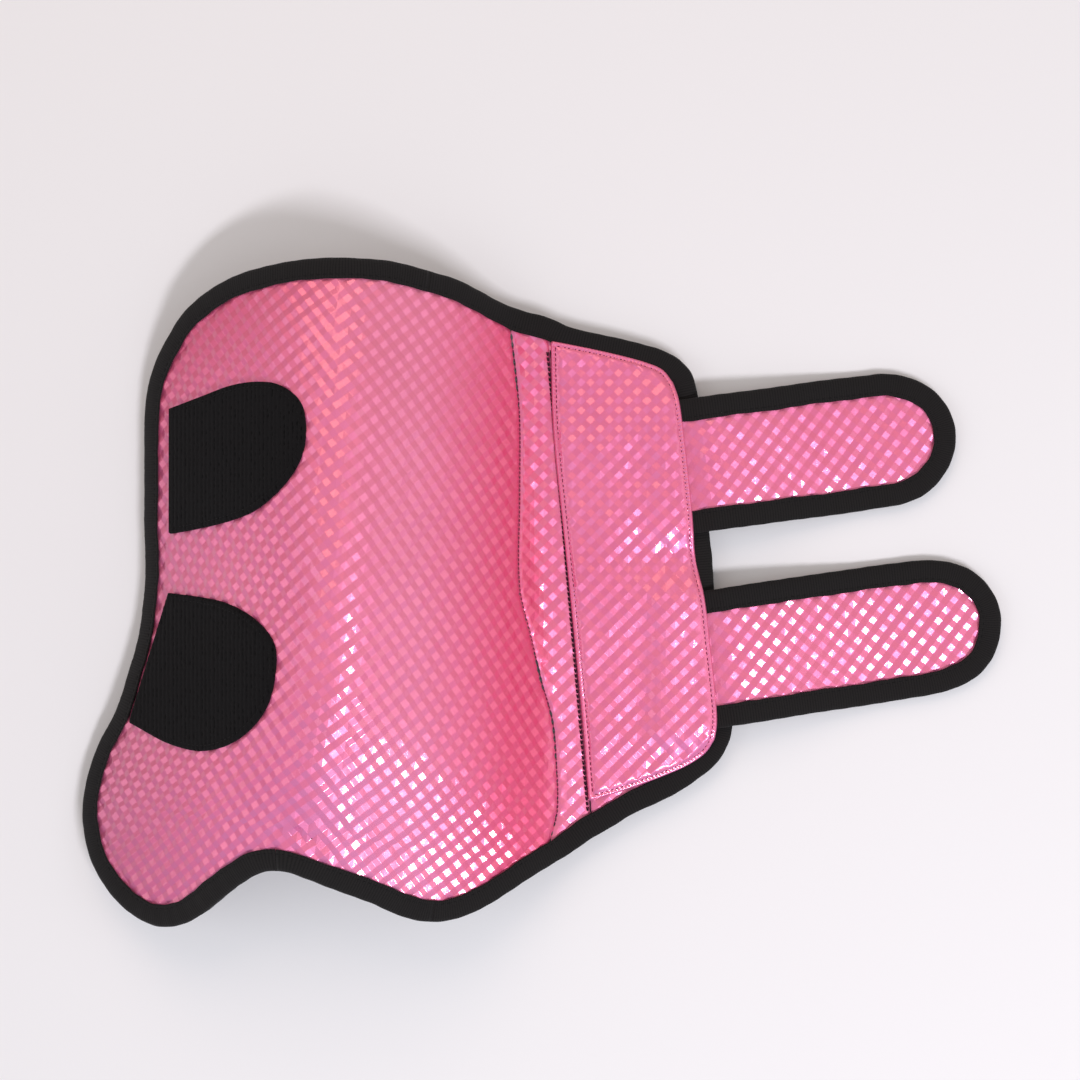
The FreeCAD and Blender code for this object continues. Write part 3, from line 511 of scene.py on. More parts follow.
def mesh_object(name, verts, faces, mat, smooth=None, uv=None, sharp_rings=(), mats=None, mat_index=None):
    me = bpy.data.meshes.new(name)
    me.from_pydata((np.asarray(verts) + SHIFT) * MM if len(verts) else [], [], faces)
    me.update()
    if smooth is True:
        me.polygons.foreach_set("use_smooth", np.ones(len(me.polygons), bool))
    elif smooth is not None and smooth is not False:
        me.polygons.foreach_set("use_smooth", np.asarray(smooth, bool))
    if uv is not None:
        layer = me.uv_layers.new(name="UVMap")
        vi = np.empty(len(me.loops), np.int32)
        me.loops.foreach_get("vertex_index", vi)
        layer.data.foreach_set("uv", np.asarray(uv, np.float32)[vi].ravel())
    if len(sharp_rings):
        s = set()
        for ring in sharp_rings:
            ring = list(ring)
            for a, b in zip(ring, ring[1:] + ring[:1]):
                s.add((min(a, b), max(a, b)))
        ed = np.empty(len(me.edges) * 2, np.int32)
        me.edges.foreach_get("vertices", ed)
        ed = np.sort(ed.reshape(-1, 2), 1)
        flag = np.array([(a, b) in s for a, b in ed.tolist()])
        me.edges.foreach_set("use_edge_sharp", flag)
    ob = bpy.data.objects.new(name, me)
    bpy.context.scene.collection.objects.link(ob)
    for mm in (mats or [mat]):
        me.materials.append(mm)
    if mat_index is not None:
        me.polygons.foreach_set("material_index", np.asarray(mat_index, np.int32))
    return ob


class Sheet:
    """Arc-length coordinates on a surface, for laying an even cloth pattern."""

    def __init__(self, S, centre, angle, x_range, y_range):
        self.S, self.c = S, np.array(centre)
        a = math.radians(angle)
        self.e1, self.e2 = np.array((math.cos(a), math.sin(a))), np.array((-math.sin(a), math.cos(a)))
        self.x = np.arange(x_range[0], x_range[1] + 0.5, 1.0)
        self.y = np.arange(y_range[0], y_range[1] + 1.0, 2.0)
        X, Y = np.meshgrid(self.x, self.y)
        P = self.c + X[..., None] * self.e1 + Y[..., None] * self.e2
        W = S.at(P[..., 0], P[..., 1])
        d = np.linalg.norm(np.diff(W, axis=1), axis=2)
        U = np.concatenate((np.zeros((len(self.y), 1)), np.cumsum(d, 1)), 1)
        zero = np.array([np.interp(0.0, self.x, r) for r in U])
        self.U = U - zero[:, None]
        C = self.c + self.y[:, None] * self.e2
        v = cumlen(S.at(C[:, 0], C[:, 1]))
        self.V = v - np.interp(0.0, self.y, v)
        self.u = np.arange(self.U.min(), self.U.max(), 1.0)
        self.inv = np.array([np.interp(self.u, r, self.x, left=None, right=None) for r in self.U])

    def to_uv(self, P):
        d = np.asarray(P) - self.c
        x, y = d @ self.e1, d @ self.e2
        fy = np.clip((y - self.y[0]) / 2.0, 0, len(self.y) - 1.001)
        fx = np.clip(x - self.x[0], 0, len(self.x) - 1.001)
        i, j = fy.astype(int), fx.astype(int)
        a, b = fy - i, fx - j
        U = ((1 - a) * (1 - b) * self.U[i, j] + a * (1 - b) * self.U[i + 1, j]
             + (1 - a) * b * self.U[i, j + 1] + a * b * self.U[i + 1, j + 1])
        return np.stack((U, np.interp(y, self.y, self.V)), -1)

    def to_pq(self, UV):
        y = np.interp(UV[:, 1], self.V, self.y)
        fy = np.clip((y - self.y[0]) / 2.0, 0, len(self.y) - 1.001)
        fu = np.clip(UV[:, 0] - self.u[0], 0, len(self.u) - 1.001)
        i, j = fy.astype(int), fu.astype(int)
        a, b = fy - i, fu - j
        x = ((1 - a) * (1 - b) * self.inv[i, j] + a * (1 - b) * self.inv[i + 1, j]
             + (1 - a) * b * self.inv[i, j + 1] + a * b * self.inv[i + 1, j + 1])
        return self.c + x[:, None] * self.e1 + y[:, None] * self.e2


PITCH, EMBOSS, RIB = 5.0, 0.34, 0.14
R2 = math.sqrt(2.0)


def lattice_lines(lo, hi):
    k = np.arange(math.floor(lo / (PITCH / 2)) - 1, math.ceil(hi / (PITCH / 2)) + 2)
    x = np.stack((k * PITCH / 2 - RIB, k * PITCH / 2 + RIB), -1).ravel()
    h = np.repeat(k % 2, 2).astype(float)
    return x, h


def embossed(name, sheet, outline, mat, lift=None, thick=0.7, place=None, fade=None, extra=None, clear=0.0, margin=0.2, split=None):
    """Closed sheet of embossed skin: a diagonal lattice of tilted square facets.
    With split, it is parted into two pieces along the facets' own edges."""
    outline = ccw(outline)
    uv = sheet.to_uv(outline)
    ab = np.stack(((uv[:, 0] + uv[:, 1]) / R2, (uv[:, 1] - uv[:, 0]) / R2), -1)
    la, ha = lattice_lines(ab[:, 0].min(), ab[:, 0].max())
    lb, hb = lattice_lines(ab[:, 1].min(), ab[:, 1].max())
    n_extra = 0
    if extra is not None:
        ok = inside(outline, extra[:, 0], extra[:, 1])
        extra = extra[ok]
        ok = distance(outline, extra[:, 0], extra[:, 1]) > 0.15
        extra = extra[ok]
        eu = sheet.to_uv(extra)
        extra = np.stack(((eu[:, 0] + eu[:, 1]) / R2, (eu[:, 1] - eu[:, 0]) / R2), -1)
        n_extra = len(extra)
    pts, faces = fill(ab, la, lb, margin, extra, clear)
    h = EMBOSS * (np.interp(pts[:, 0], la, ha) + np.interp(pts[:, 1], lb, hb) - 1.0)
    UV = np.stack(((pts[:, 0] - pts[:, 1]) / R2, (pts[:, 0] + pts[:, 1]) / R2), -1)
    pq = sheet.to_pq(UV)
    m = len(outline)
    pq[:m] = outline
    if fade is not None:
        h = h * fade(pq[:, 0], pq[:, 1])
    w = h - 0.36 if lift is None else h + lift(pq[:, 0], pq[:, 1])
    put = place or (lambda p, q, ww: sheet.S.off(p, q, ww))
    top = put(pq[:, 0], pq[:, 1], w)
    if split is not None:
        base = put(pq[:, 0], pq[:, 1], w - h - thick)
        cen = np.array([pts[list(f)].mean(0) for f in faces])
        blk = (np.floor((cen + RIB) / (PITCH / 2)) + 0.5) * (PITCH / 2)
        bq = sheet.to_pq(np.stack(((blk[:, 0] - blk[:, 1]) / R2, (blk[:, 0] + blk[:, 1]) / R2), -1))
        first = bq[:, 0] < split
        made = []
        for nm, want in zip(name, (True, False)):
            part = [f for f, ok in zip(faces, first) if ok == want]
            used = sorted({i for f in part for i in f})
            new = {v: k for k, v in enumerate(used)}
            part = [tuple(new[i] for i in f) for f in part]
            n = len(used)
            edges = {(f[k - 1], f[k]) for f in part for k in range(len(f))}
            walls = [(v, u, n + u, n + v) for u, v in edges if (v, u) not in edges]
            soft = [any(used[i] < m + n_extra for i in f) if n_extra else False for f in part]
            allf = part + [tuple(n + i for i in reversed(f)) for f in part] + walls
            soft += [True] * len(part) + [False] * len(walls)
            made.append(mesh_object(nm, np.concatenate((top[used], base[used])), allf, mat, soft,
                                    uv=np.concatenate((UV[used], UV[used])) * MM))
        return made
    lo, hi = outline.min(0), outline.max(0)
    bp, bf = fill(outline, np.arange(lo[0], hi[0], 4.0), np.arange(lo[1], hi[1], 4.0), 1.6)
    wb = (np.zeros(len(bp)) - 0.36 if lift is None else lift(bp[:, 0], bp[:, 1])) - thick
    bot = put(bp[:, 0], bp[:, 1], wb)
    k = len(top)
    soft_faces = [any(i < m + n_extra for i in f) if n_extra else False for f in faces]
    faces = list(faces) + [tuple(k + i for i in reversed(f)) for f in bf]
    faces += [(i, k + i, k + (i + 1) % m, (i + 1) % m) for i in range(m)]
    soft_faces += [False] * (len(faces) - len(soft_faces))
    return mesh_object(name, np.concatenate((top, bot)), faces, mat, soft_faces,
                       uv=np.concatenate((UV, bp)) * MM)


def plain_sheet(name, S, outline, w_low, w_high, mat, step=4.0, margin=1.2, edge_round=0.0, side=None, place=None):
    """Closed smooth sheet between two offsets."""
    outline = ccw(outline)
    lo, hi = outline.min(0), outline.max(0)
    pts, faces = fill(outline, np.arange(lo[0] - step, hi[0] + step, step),
                      np.arange(lo[1] - step, hi[1] + step, step), margin)
    m, k = len(outline), len(pts)
    p, q = pts[:, 0], pts[:, 1]
    wl = w_low(p, q) if callable(w_low) else np.full(k, float(w_low))
    wh = w_high(p, q) if callable(w_high) else np.full(k, float(w_high))
    put = place or (lambda p, q, ww: S.off(p, q, ww))
    top, bot = put(p, q, wh), put(p, q, wl)
    f2 = list(faces) + [tuple(k + i for i in reversed(f)) for f in faces]
    ns = len(f2)
    f2 += [(i, k + i, k + (i + 1) % m, (i + 1) % m) for i in range(m)]
    return mesh_object(name, np.concatenate((top, bot)), f2, mat, True,
                       uv=np.concatenate((pts, pts)) * MM, sharp_rings=(range(m), range(k, k + m)))


def binding_mesh(S, run, low, high, width=TAPE_W, step=1.3, seed=0.0, outset=0.0, cuts=None):
    """Verts, faces, uv of a folded tape swept along a clockwise edge run."""
    P = even(S, run, step)
    n = len(P)
    d = inward(S, P, False)
    nrm = S.normal(P[:, 0], P[:, 1])
    X = S.at(P[:, 0], P[:, 1])
    s = cumlen(X)
    t0, t1 = high + TAPE_PLAY, low - TAPE_PLAY
    T = TAPE_T
    # (a, w): from the upper inner edge over the fold to the lower inner edge and back inside
    sec = [(width, t0 + 0.02), (width + 0.02, t0 + 0.30), (width - 0.18, t0 + T * 0.95), (width - 0.7, t0 + T * 1.05),
           (width - 1.4, t0 + T * 0.80), (width - 2.2, t0 + T * 1.12), (width * 0.5, t0 + T * 1.3), (2.0, t0 + T * 1.15),
           (0.9, t0 + T * 0.75), (0.25, t0 + T * 0.1 - 0.2), (0.0, t0 - 0.9), (-0.05, 0.5 * (t0 + t1)), (0.0, t1 + 0.9),
           (0.25, t1 - T * 0.1 + 0.2), (0.9, t1 - T * 0.75), (2.0, t1 - T * 1.05), (width * 0.5, t1 - T * 1.1),
           (width - 0.7, t1 - T), (width - 0.05, t1 - T * 0.8), (width, t1 - 0.02),
           (width * 0.5, t1 - 0.02), (1.2, t1 + 0.02), (0.62, t1 + 0.5), (0.6, 0.5 * (t0 + t1)), (0.62, t0 - 0.5),
           (1.2, t0 - 0.02), (width * 0.5, t0 + 0.02)]
    m = len(sec)
    aset = sorted(set(max(a, 0.0) for a, _ in sec))
    pq = {}
    cur, last = (P[:, 0], P[:, 1]), 0.0
    for a in aset:
        if a > last:
            cur = S.march(cur[0], cur[1], d, a - last)
            last = a
        pq[a] = cur
    V = np.empty((n, m, 3))
    # tape puckers gently between the stitches and wanders a little
    pk = 0.06 * np.sin(s * 2 * math.pi / 2.4) + 0.05 * np.sin(s * 0.9 + seed) + 0.06 * np.sin(s * 0.37 + 2 * seed)
    wander = 0.14 * np.sin(s * 0.23 + seed) + 0.10 * np.sin(s * 0.61 + 1.7 * seed)
    arc = [0.0]
    for (a0, w0), (a1, w1) in zip(sec, sec[1:]):
        arc.append(arc[-1] + math.hypot(a1 - a0, w1 - w0))
    for k, (a, w) in enumerate(sec):
        p, q = pq[max(a, 0.0)]
        ww = np.full(n, float(w))
        if 1 <= k <= 8:
            ww = ww + pk * (0.4 if k in (4,) else 1.0)
        if 14 <= k <= 18:
            ww = ww - np.abs(pk)
        V[:, k] = S.off(p, q, ww)
        if a < 0.3 and k < 20:
            V[:, k] -= d * (0.10 + 0.05 * np.sin(s * 0.8 + seed))[:, None]
        if k <= 3 or k == m - 1:
            V[:, k] += d * (wander * (1.0 if k <= 3 else 0.3))[:, None]
    UVs = np.stack(np.broadcast_arrays(s[:, None], np.array(arc)[None, :]), -1) * MM
    if cuts is None:
        return tape_piece(V, UVs)
    k = [0] + list(cuts(P)) + [n - 1]
    return [tape_piece(V[a:b + 1], UVs[a:b + 1]) for a, b in zip(k, k[1:])]


def tape_piece(V, UVs):
    n, m = V.shape[:2]
    faces = []
    for i in range(n - 1):
        for k in range(m):
            k2 = (k + 1) % m
            faces.append((i * m + k, (i + 1) * m + k, (i + 1) * m + k2, i * m + k2))
    faces.append(tuple(range(m)))
    faces.append(tuple((n - 1) * m + k for k in reversed(range(m))))
    return V.reshape(-1, 3), faces, UVs.reshape(-1, 2), m, n


def signed_volume(V, F):
    V = np.asarray(V, float)
    T = np.array([(f[0], f[i], f[i + 1]) for f in F for i in range(1, len(f) - 1)])
    return float((V[T[:, 0]] * np.cross(V[T[:, 1]], V[T[:, 2]])).sum()) / 6


def joined(name, groups, mat, smooth=True):
    vs, fs, us, k = [], [], [], 0
    for g in groups:
        vs.append(g[0]); us.append(g[2])
        turn = -1 if signed_volume(g[0], g[1]) < 0 else 1   # every face looks outward
        fs += [tuple(k + i for i in f)[::turn] for f in g[1]]
        k += len(g[0])
    sm = np.array([len(f) <= 4 for f in fs]) if smooth else False
    return mesh_object(name, np.concatenate(vs), fs, mat, sm, uv=np.concatenate(us))


def stitch_mesh(S, run, w, length=1.7, pitch=2.4, size=0.26, sink=0.18, place=None, slant=0.0):
    """Row of separate thread stitches lying on the cloth."""
    P = even(S, run, 0.4)
    put = place or (lambda p, q, ww: S.off(p, q, ww))
    wf = w if callable(w) else (lambda p, q: np.full(p.shape, float(w)))
    X = put(P[:, 0], P[:, 1], wf(P[:, 0], P[:, 1]))
    s = cumlen(X)
    N = put(P[:, 0], P[:, 1], wf(P[:, 0], P[:, 1]) + 0.5) - X
    N /= np.linalg.norm(N, axis=1, keepdims=True)
    c = np.arange(pitch * 0.7, s[-1] - pitch * 0.5, pitch)
    at = lambda A, x: np.stack([np.interp(x, s, A[:, k]) for k in range(3)], -1)
    verts, faces = [], []
    prof = ((-0.5, 0.15, -1.0), (-0.42, 0.75, -0.25), (-0.2, 1.0, 0.45), (0.2, 1.0, 0.45), (0.42, 0.75, -0.25), (0.5, 0.15, -1.0))
    ring = 6
    k0 = 0
    for ci in c:
        for (t, r, lift) in prof:
            x = ci + t * length
            o = at(X, np.array([x]))[0]
            nn = at(N, np.array([x]))[0]
            tt = at(X, np.array([x + 0.3]))[0] - at(X, np.array([x - 0.3]))[0]
            tt /= np.linalg.norm(tt) + 1e-12
            b = np.cross(nn, tt)
            o = o + nn * (sink * lift) + b * slant * t * length
            for j in range(ring):
                a = 2 * math.pi * j / ring
                verts.append(o + (b * math.cos(a) + nn * math.sin(a)) * size * r)
        for i in range(len(prof) - 1):
            for j in range(ring):
                a, b2 = k0 + i * ring + j, k0 + i * ring + (j + 1) % ring
                faces.append((a, a + ring, b2 + ring, b2))
        faces.append(tuple(k0 + j for j in reversed(range(ring)))[::-1])
        faces.append(tuple(k0 + (len(prof) - 1) * ring + j for j in range(ring))[::-1])
        k0 += len(prof) * ring
    v = np.array(verts).reshape(-1, 3)
    return v, faces, np.zeros((len(v), 2))


# ------------------------------------------------------------------ materials
def new_mat(name):
    m = bpy.data.materials.new(name)
    m.use_nodes = True
    nt = m.node_tree
    b = nt.nodes["Principled BSDF"]
    return m, nt, b


def node(nt, kind, **kw):
    n = nt.nodes.new(kind)
    for k, v in kw.items():
        if k.startswith("in_"):
            key = k[3:]
            n.inputs[int(key) if key.isdigit() else key.replace("_", " ")].default_value = v
        else:
            setattr(n, k, v)
    return n


def ramp(nt, src, stops):
    r = nt.nodes.new("ShaderNodeValToRGB")
    while len(r.color_ramp.elements) < len(stops):
        r.color_ramp.elements.new(0.5)
    for e, (pos, col) in zip(r.color_ramp.elements, stops):
        e.position = pos
        e.color = (*col, 1.0)
    nt.links.new(src, r.inputs[0])
    return r


def bump(nt, b, src, strength, distance):
    n = node(nt, "ShaderNodeBump", in_Strength=strength, in_Distance=distance)
    nt.links.new(src, n.inputs["Height"])
    nt.links.new(n.outputs[0], b.inputs["Normal"])
    return n


def skin_material(name, tint=1.0):
    m, nt, b = new_mat(name)
    L = nt.links
    co = node(nt, "ShaderNodeTexCoord")
    geo = node(nt, "ShaderNodeNewGeometry")
    # cloudy variation of the pearl pigment
    n1 = node(nt, "ShaderNodeTexNoise", in_Scale=26.0, in_Detail=3.0, in_Roughness=0.55)
    L.new(co.outputs["Object"], n1.inputs["Vector"])
    r1 = ramp(nt, n1.outputs["Fac"], ((0.30, (0.735, 0.098, 0.232)), (0.52, (0.80, 0.134, 0.278)), (0.75, (0.85, 0.184, 0.33))))
    # pearl: paler and cooler face-on, deeper rose at a grazing look
    lw = node(nt, "ShaderNodeLayerWeight", in_Blend=0.42)
    r2 = ramp(nt, lw.outputs["Facing"], ((0.0, (0.87, 0.250, 0.41)), (0.35, (0.81, 0.145, 0.295)), (0.85, (0.66, 0.045, 0.155))))
    mix = node(nt, "ShaderNodeMix", data_type="RGBA", blend_type="MIX", in_Factor=0.55)
    L.new(r1.outputs[0], mix.inputs[6]); L.new(r2.outputs[0], mix.inputs[7])
    # painted reflection by facet direction: lavender on facets facing -Y, salmon on those facing +Y, the tints of the
    # cool and warm light from those sides
    sep = node(nt, "ShaderNodeSeparateXYZ")
    L.new(geo.outputs["True Normal"], sep.inputs[0])
    mr = node(nt, "ShaderNodeMapRange", in_1=-0.45, in_2=0.35, in_3=0.0, in_4=1.0)
    L.new(sep.outputs["Y"], mr.inputs[0])
    painted_reflection_tint = ramp(nt, mr.outputs[0], ((0.0, (0.66, 0.27, 0.66)), (0.45, (0.80, 0.15, 0.36)), (1.0, (0.92, 0.19, 0.25))))
    painted_reflection_mix = node(nt, "ShaderNodeMix", data_type="RGBA", blend_type="MIX", in_Factor=0.36)
    L.new(mix.outputs[2], painted_reflection_mix.inputs[6]); L.new(painted_reflection_tint.outputs[0], painted_reflection_mix.inputs[7])
    # painted shade: a deeper, redder rose where the dome falls to its seam and leans away from the light, and a duller
    # one on the far wing
    place = node(nt, "ShaderNodeSeparateXYZ")
    L.new(co.outputs["Object"], place.inputs[0])
    mid = SHIFT[0] * MM
    lean = node(nt, "ShaderNodeMapRange", in_1=0.04, in_2=0.40, in_3=0.0, in_4=0.74)
    L.new(sep.outputs["X"], lean.inputs[0])
    near = node(nt, "ShaderNodeMapRange", in_1=mid - 0.043, in_2=mid - 0.011, in_3=0.0, in_4=1.0)
    L.new(place.outputs["X"], near.inputs[0])
    past = node(nt, "ShaderNodeMapRange", in_1=mid + 0.001, in_2=mid + 0.010, in_3=1.0, in_4=0.08)
    L.new(place.outputs["X"], past.inputs[0])
    span = node(nt, "ShaderNodeMath", operation="MULTIPLY")
    L.new(near.outputs[0], span.inputs[0]); L.new(past.outputs[0], span.inputs[1])
    painted_seam_shade = node(nt, "ShaderNodeMath", operation="MULTIPLY")
    L.new(lean.outputs[0], painted_seam_shade.inputs[0]); L.new(span.outputs[0], painted_seam_shade.inputs[1])
    painted_seam_shade_mix = node(nt, "ShaderNodeMix", data_type="RGBA", blend_type="MIX")
    L.new(painted_seam_shade.outputs[0], painted_seam_shade_mix.inputs[0])
    L.new(painted_reflection_mix.outputs[2], painted_seam_shade_mix.inputs[6])
    painted_seam_shade_mix.inputs[7].default_value = (0.80, 0.052, 0.150, 1.0)
    # painted shade: the far wing, which leans away from the light, gets a duller, darker rose
    far = node(nt, "ShaderNodeMapRange", in_1=mid - 0.112, in_2=mid - 0.160, in_3=0.0, in_4=0.50)
    L.new(place.outputs["X"], far.inputs[0])
    painted_far_wing_shade_mix = node(nt, "ShaderNodeMix", data_type="RGBA", blend_type="MIX")
    L.new(far.outputs[0], painted_far_wing_shade_mix.inputs[0])
    L.new(painted_seam_shade_mix.outputs[2], painted_far_wing_shade_mix.inputs[6])
    painted_far_wing_shade_mix.inputs[7].default_value = (0.44, 0.092, 0.190, 1.0)
    # painted highlight: paler along the dome's crest; painted shade: deep rose again on the wing's upper lobe
    off = node(nt, "ShaderNodeMath", operation="SUBTRACT")
    L.new(place.outputs["X"], off.inputs[0])
    off.inputs[1].default_value = mid - 0.050
    away = node(nt, "ShaderNodeMath", operation="ABSOLUTE")
    L.new(off.outputs[0], away.inputs[0])
    crest = node(nt, "ShaderNodeMapRange", in_1=0.004, in_2=0.036, in_3=0.30, in_4=0.0)
    L.new(away.outputs[0], crest.inputs[0])
    painted_crest_highlight_mix = node(nt, "ShaderNodeMix", data_type="RGBA", blend_type="MIX")
    L.new(crest.outputs[0], painted_crest_highlight_mix.inputs[0])
    L.new(painted_far_wing_shade_mix.outputs[2], painted_crest_highlight_mix.inputs[6])
    painted_crest_highlight_mix.inputs[7].default_value = (0.90, 0.300, 0.430, 1.0)
    # painted shade: deep rose on the wing's upper lobe, which faces away from the light
    diag = node(nt, "ShaderNodeMath", operation="SUBTRACT")
    L.new(place.outputs["Y"], diag.inputs[0]); L.new(place.outputs["X"], diag.inputs[1])
    corner = SHIFT[1] * MM - mid
    lobe = node(nt, "ShaderNodeMapRange", in_1=corner + 0.158, in_2=corner + 0.215, in_3=0.0, in_4=0.62)
    L.new(diag.outputs[0], lobe.inputs[0])
    painted_lobe_shade_mix = node(nt, "ShaderNodeMix", data_type="RGBA", blend_type="MIX")
    L.new(lobe.outputs[0], painted_lobe_shade_mix.inputs[0])
    L.new(painted_crest_highlight_mix.outputs[2], painted_lobe_shade_mix.inputs[6])
    painted_lobe_shade_mix.inputs[7].default_value = (0.62, 0.050, 0.130, 1.0)
    L.new(painted_lobe_shade_mix.outputs[2], b.inputs["Base Color"])
    b.inputs["Metallic"].default_value = 0.30
    # rubbed patches are a little duller
    n2 = node(nt, "ShaderNodeTexNoise", in_Scale=85.0, in_Detail=4.0)
    L.new(co.outputs["Object"], n2.inputs["Vector"])
    rr = node(nt, "ShaderNodeMapRange", in_1=0.3, in_2=0.7, in_3=0.30, in_4=0.42)
    L.new(n2.outputs["Fac"], rr.inputs[0])
    L.new(rr.outputs[0], b.inputs["Roughness"])
    b.inputs["Specular Tint"].default_value = (1.0, 0.72, 0.86, 1.0)
    b.inputs["Coat Weight"].default_value = 0.9
    b.inputs["Coat Roughness"].default_value = 0.10
    b.inputs["Coat IOR"].default_value = 1.5
    b.inputs["Sheen Weight"].default_value = 0.12
    b.inputs["Sheen Tint"].default_value = (0.85, 0.6, 0.95, 1.0)
    # fine grain of the coated cloth, so that a facet never mirrors perfectly
    n3 = node(nt, "ShaderNodeTexNoise", in_Scale=620.0, in_Detail=2.0)
    L.new(co.outputs["Object"], n3.inputs["Vector"])
    bp = bump(nt, b, n3.outputs["Fac"], 0.10, 0.0004)
    L.new(bp.outputs[0], b.inputs["Coat Normal"])
    return m


def tape_material():
    m, nt, b = new_mat("binding_tape")
    L = nt.links
    uv = node(nt, "ShaderNodeUVMap", uv_map="UVMap")
    co = node(nt, "ShaderNodeTexCoord")
    # ribs run across the tape, the warp along it
    w1 = node(nt, "ShaderNodeTexWave", wave_type="BANDS", bands_direction="X", in_Scale=310.0, in_Distortion=0.6)
    w1.inputs["Detail"].default_value = 1.0
    L.new(uv.outputs[0], w1.inputs["Vector"])
    w2 = node(nt, "ShaderNodeTexWave", wave_type="BANDS", bands_direction="Y", in_Scale=520.0, in_Distortion=0.4)
    L.new(uv.outputs[0], w2.inputs["Vector"])
    add = node(nt, "ShaderNodeMath", operation="MULTIPLY_ADD")
    add.inputs[1].default_value = 0.45
    L.new(w2.outputs["Fac"], add.inputs[0]); L.new(w1.outputs["Fac"], add.inputs[2])
    n1 = node(nt, "ShaderNodeTexNoise", in_Scale=900.0, in_Detail=3.0)
    L.new(co.outputs["Object"], n1.inputs["Vector"])
    mul = node(nt, "ShaderNodeMath", operation="MULTIPLY_ADD")
    mul.inputs[1].default_value = 0.5
    L.new(n1.outputs["Fac"], mul.inputs[0]); L.new(add.outputs[0], mul.inputs[2])
    r = ramp(nt, mul.outputs[0], ((0.25, (0.0050, 0.0045, 0.0046)), (0.65, (0.0075, 0.0068, 0.0068)), (1.0, (0.012, 0.0108, 0.0106))))
    L.new(r.outputs[0], b.inputs["Base Color"])
    b.inputs["Roughness"].default_value = 0.85
    b.inputs["Sheen Weight"].default_value = 0.07
    b.inputs["Sheen Roughness"].default_value = 0.5
    b.inputs["Specular IOR Level"].default_value = 0.14
    bump(nt, b, mul.outputs[0], 0.22, 0.0003)
    return m


def loop_material():
    m, nt, b = new_mat("loop_tape")
    L = nt.links
    uv = node(nt, "ShaderNodeUVMap", uv_map="UVMap")
    mp = node(nt, "ShaderNodeMapping")
    mp.inputs["Scale"].default_value = (1.0, 0.55, 1.0)
    L.new(uv.outputs[0], mp.inputs[0])
    v = node(nt, "ShaderNodeTexVoronoi", in_Scale=900.0, in_Randomness=0.55)
    L.new(mp.outputs[0], v.inputs["Vector"])
    w = node(nt, "ShaderNodeTexWave", wave_type="BANDS", bands_direction="X", in_Scale=200.0, in_Distortion=1.5)
    w.inputs["Detail Scale"].default_value = 2.0
    L.new(uv.outputs[0], w.inputs["Vector"])
    n1 = node(nt, "ShaderNodeTexNoise", in_Scale=2400.0, in_Detail=4.0)
    L.new(uv.outputs[0], n1.inputs["Vector"])
    a = node(nt, "ShaderNodeMath", operation="ADD"); L.new(v.outputs["Distance"], a.inputs[0]); L.new(w.outputs["Fac"], a.inputs[1])
    c = node(nt, "ShaderNodeMath", operation="MULTIPLY_ADD"); c.inputs[1].default_value = 0.8
    L.new(n1.outputs["Fac"], c.inputs[0]); L.new(a.outputs[0], c.inputs[2])
    r = ramp(nt, c.outputs[0], ((0.35, (0.0012, 0.0011, 0.0012)), (0.75, (0.0030, 0.0028, 0.0030)), (1.0, (0.0085, 0.008, 0.0085))))
    L.new(r.outputs[0], b.inputs["Base Color"])
    b.inputs["Roughness"].default_value = 1.0
    b.inputs["Sheen Weight"].default_value = 0.035
    b.inputs["Specular IOR Level"].default_value = 0.06
    bump(nt, b, c.outputs[0], 0.45, 0.0004)
    return m


def lining_material():
    m, nt, b = new_mat("lining_knit")
    L = nt.links
    uv = node(nt, "ShaderNodeUVMap", uv_map="UVMap")
    w1 = node(nt, "ShaderNodeTexWave", bands_direction="X", in_Scale=260.0, in_Distortion=0.8)
    w2 = node(nt, "ShaderNodeTexWave", bands_direction="DIAGONAL", in_Scale=300.0, in_Distortion=0.8)
    n1 = node(nt, "ShaderNodeTexNoise", in_Scale=60.0, in_Detail=5.0)
    for t in (w1, w2, n1):
        L.new(uv.outputs[0], t.inputs["Vector"])
    a = node(nt, "ShaderNodeMath", operation="MULTIPLY"); L.new(w1.outputs["Fac"], a.inputs[0]); L.new(w2.outputs["Fac"], a.inputs[1])
    r = ramp(nt, n1.outputs["Fac"], ((0.3, (0.016, 0.016, 0.018)), (0.7, (0.035, 0.034, 0.038))))
    mix = node(nt, "ShaderNodeMix", data_type="RGBA", blend_type="MULTIPLY", in_Factor=0.6)
    rr = ramp(nt, a.outputs[0], ((0.0, (0.35, 0.35, 0.37)), (1.0, (1.0, 1.0, 1.0))))
    L.new(r.outputs[0], mix.inputs[6]); L.new(rr.outputs[0], mix.inputs[7])
    L.new(mix.outputs[2], b.inputs["Base Color"])
    b.inputs["Roughness"].default_value = 0.85
    b.inputs["Sheen Weight"].default_value = 0.35
    bump(nt, b, a.outputs[0], 0.5, 0.0004)
    return m


def foam_material():
    m, nt, b = new_mat("foam_cells")
    L = nt.links
    co = node(nt, "ShaderNodeTexCoord")
    v = node(nt, "ShaderNodeTexVoronoi", in_Scale=1600.0)
    L.new(co.outputs["Object"], v.inputs["Vector"])
    r = ramp(nt, v.outputs["Distance"], ((0.0, (0.03, 0.03, 0.032)), (0.8, (0.10, 0.10, 0.105))))
    L.new(r.outputs[0], b.inputs["Base Color"])
    b.inputs["Roughness"].default_value = 0.9
    bump(nt, b, v.outputs["Distance"], 0.6, 0.0005)
    return m


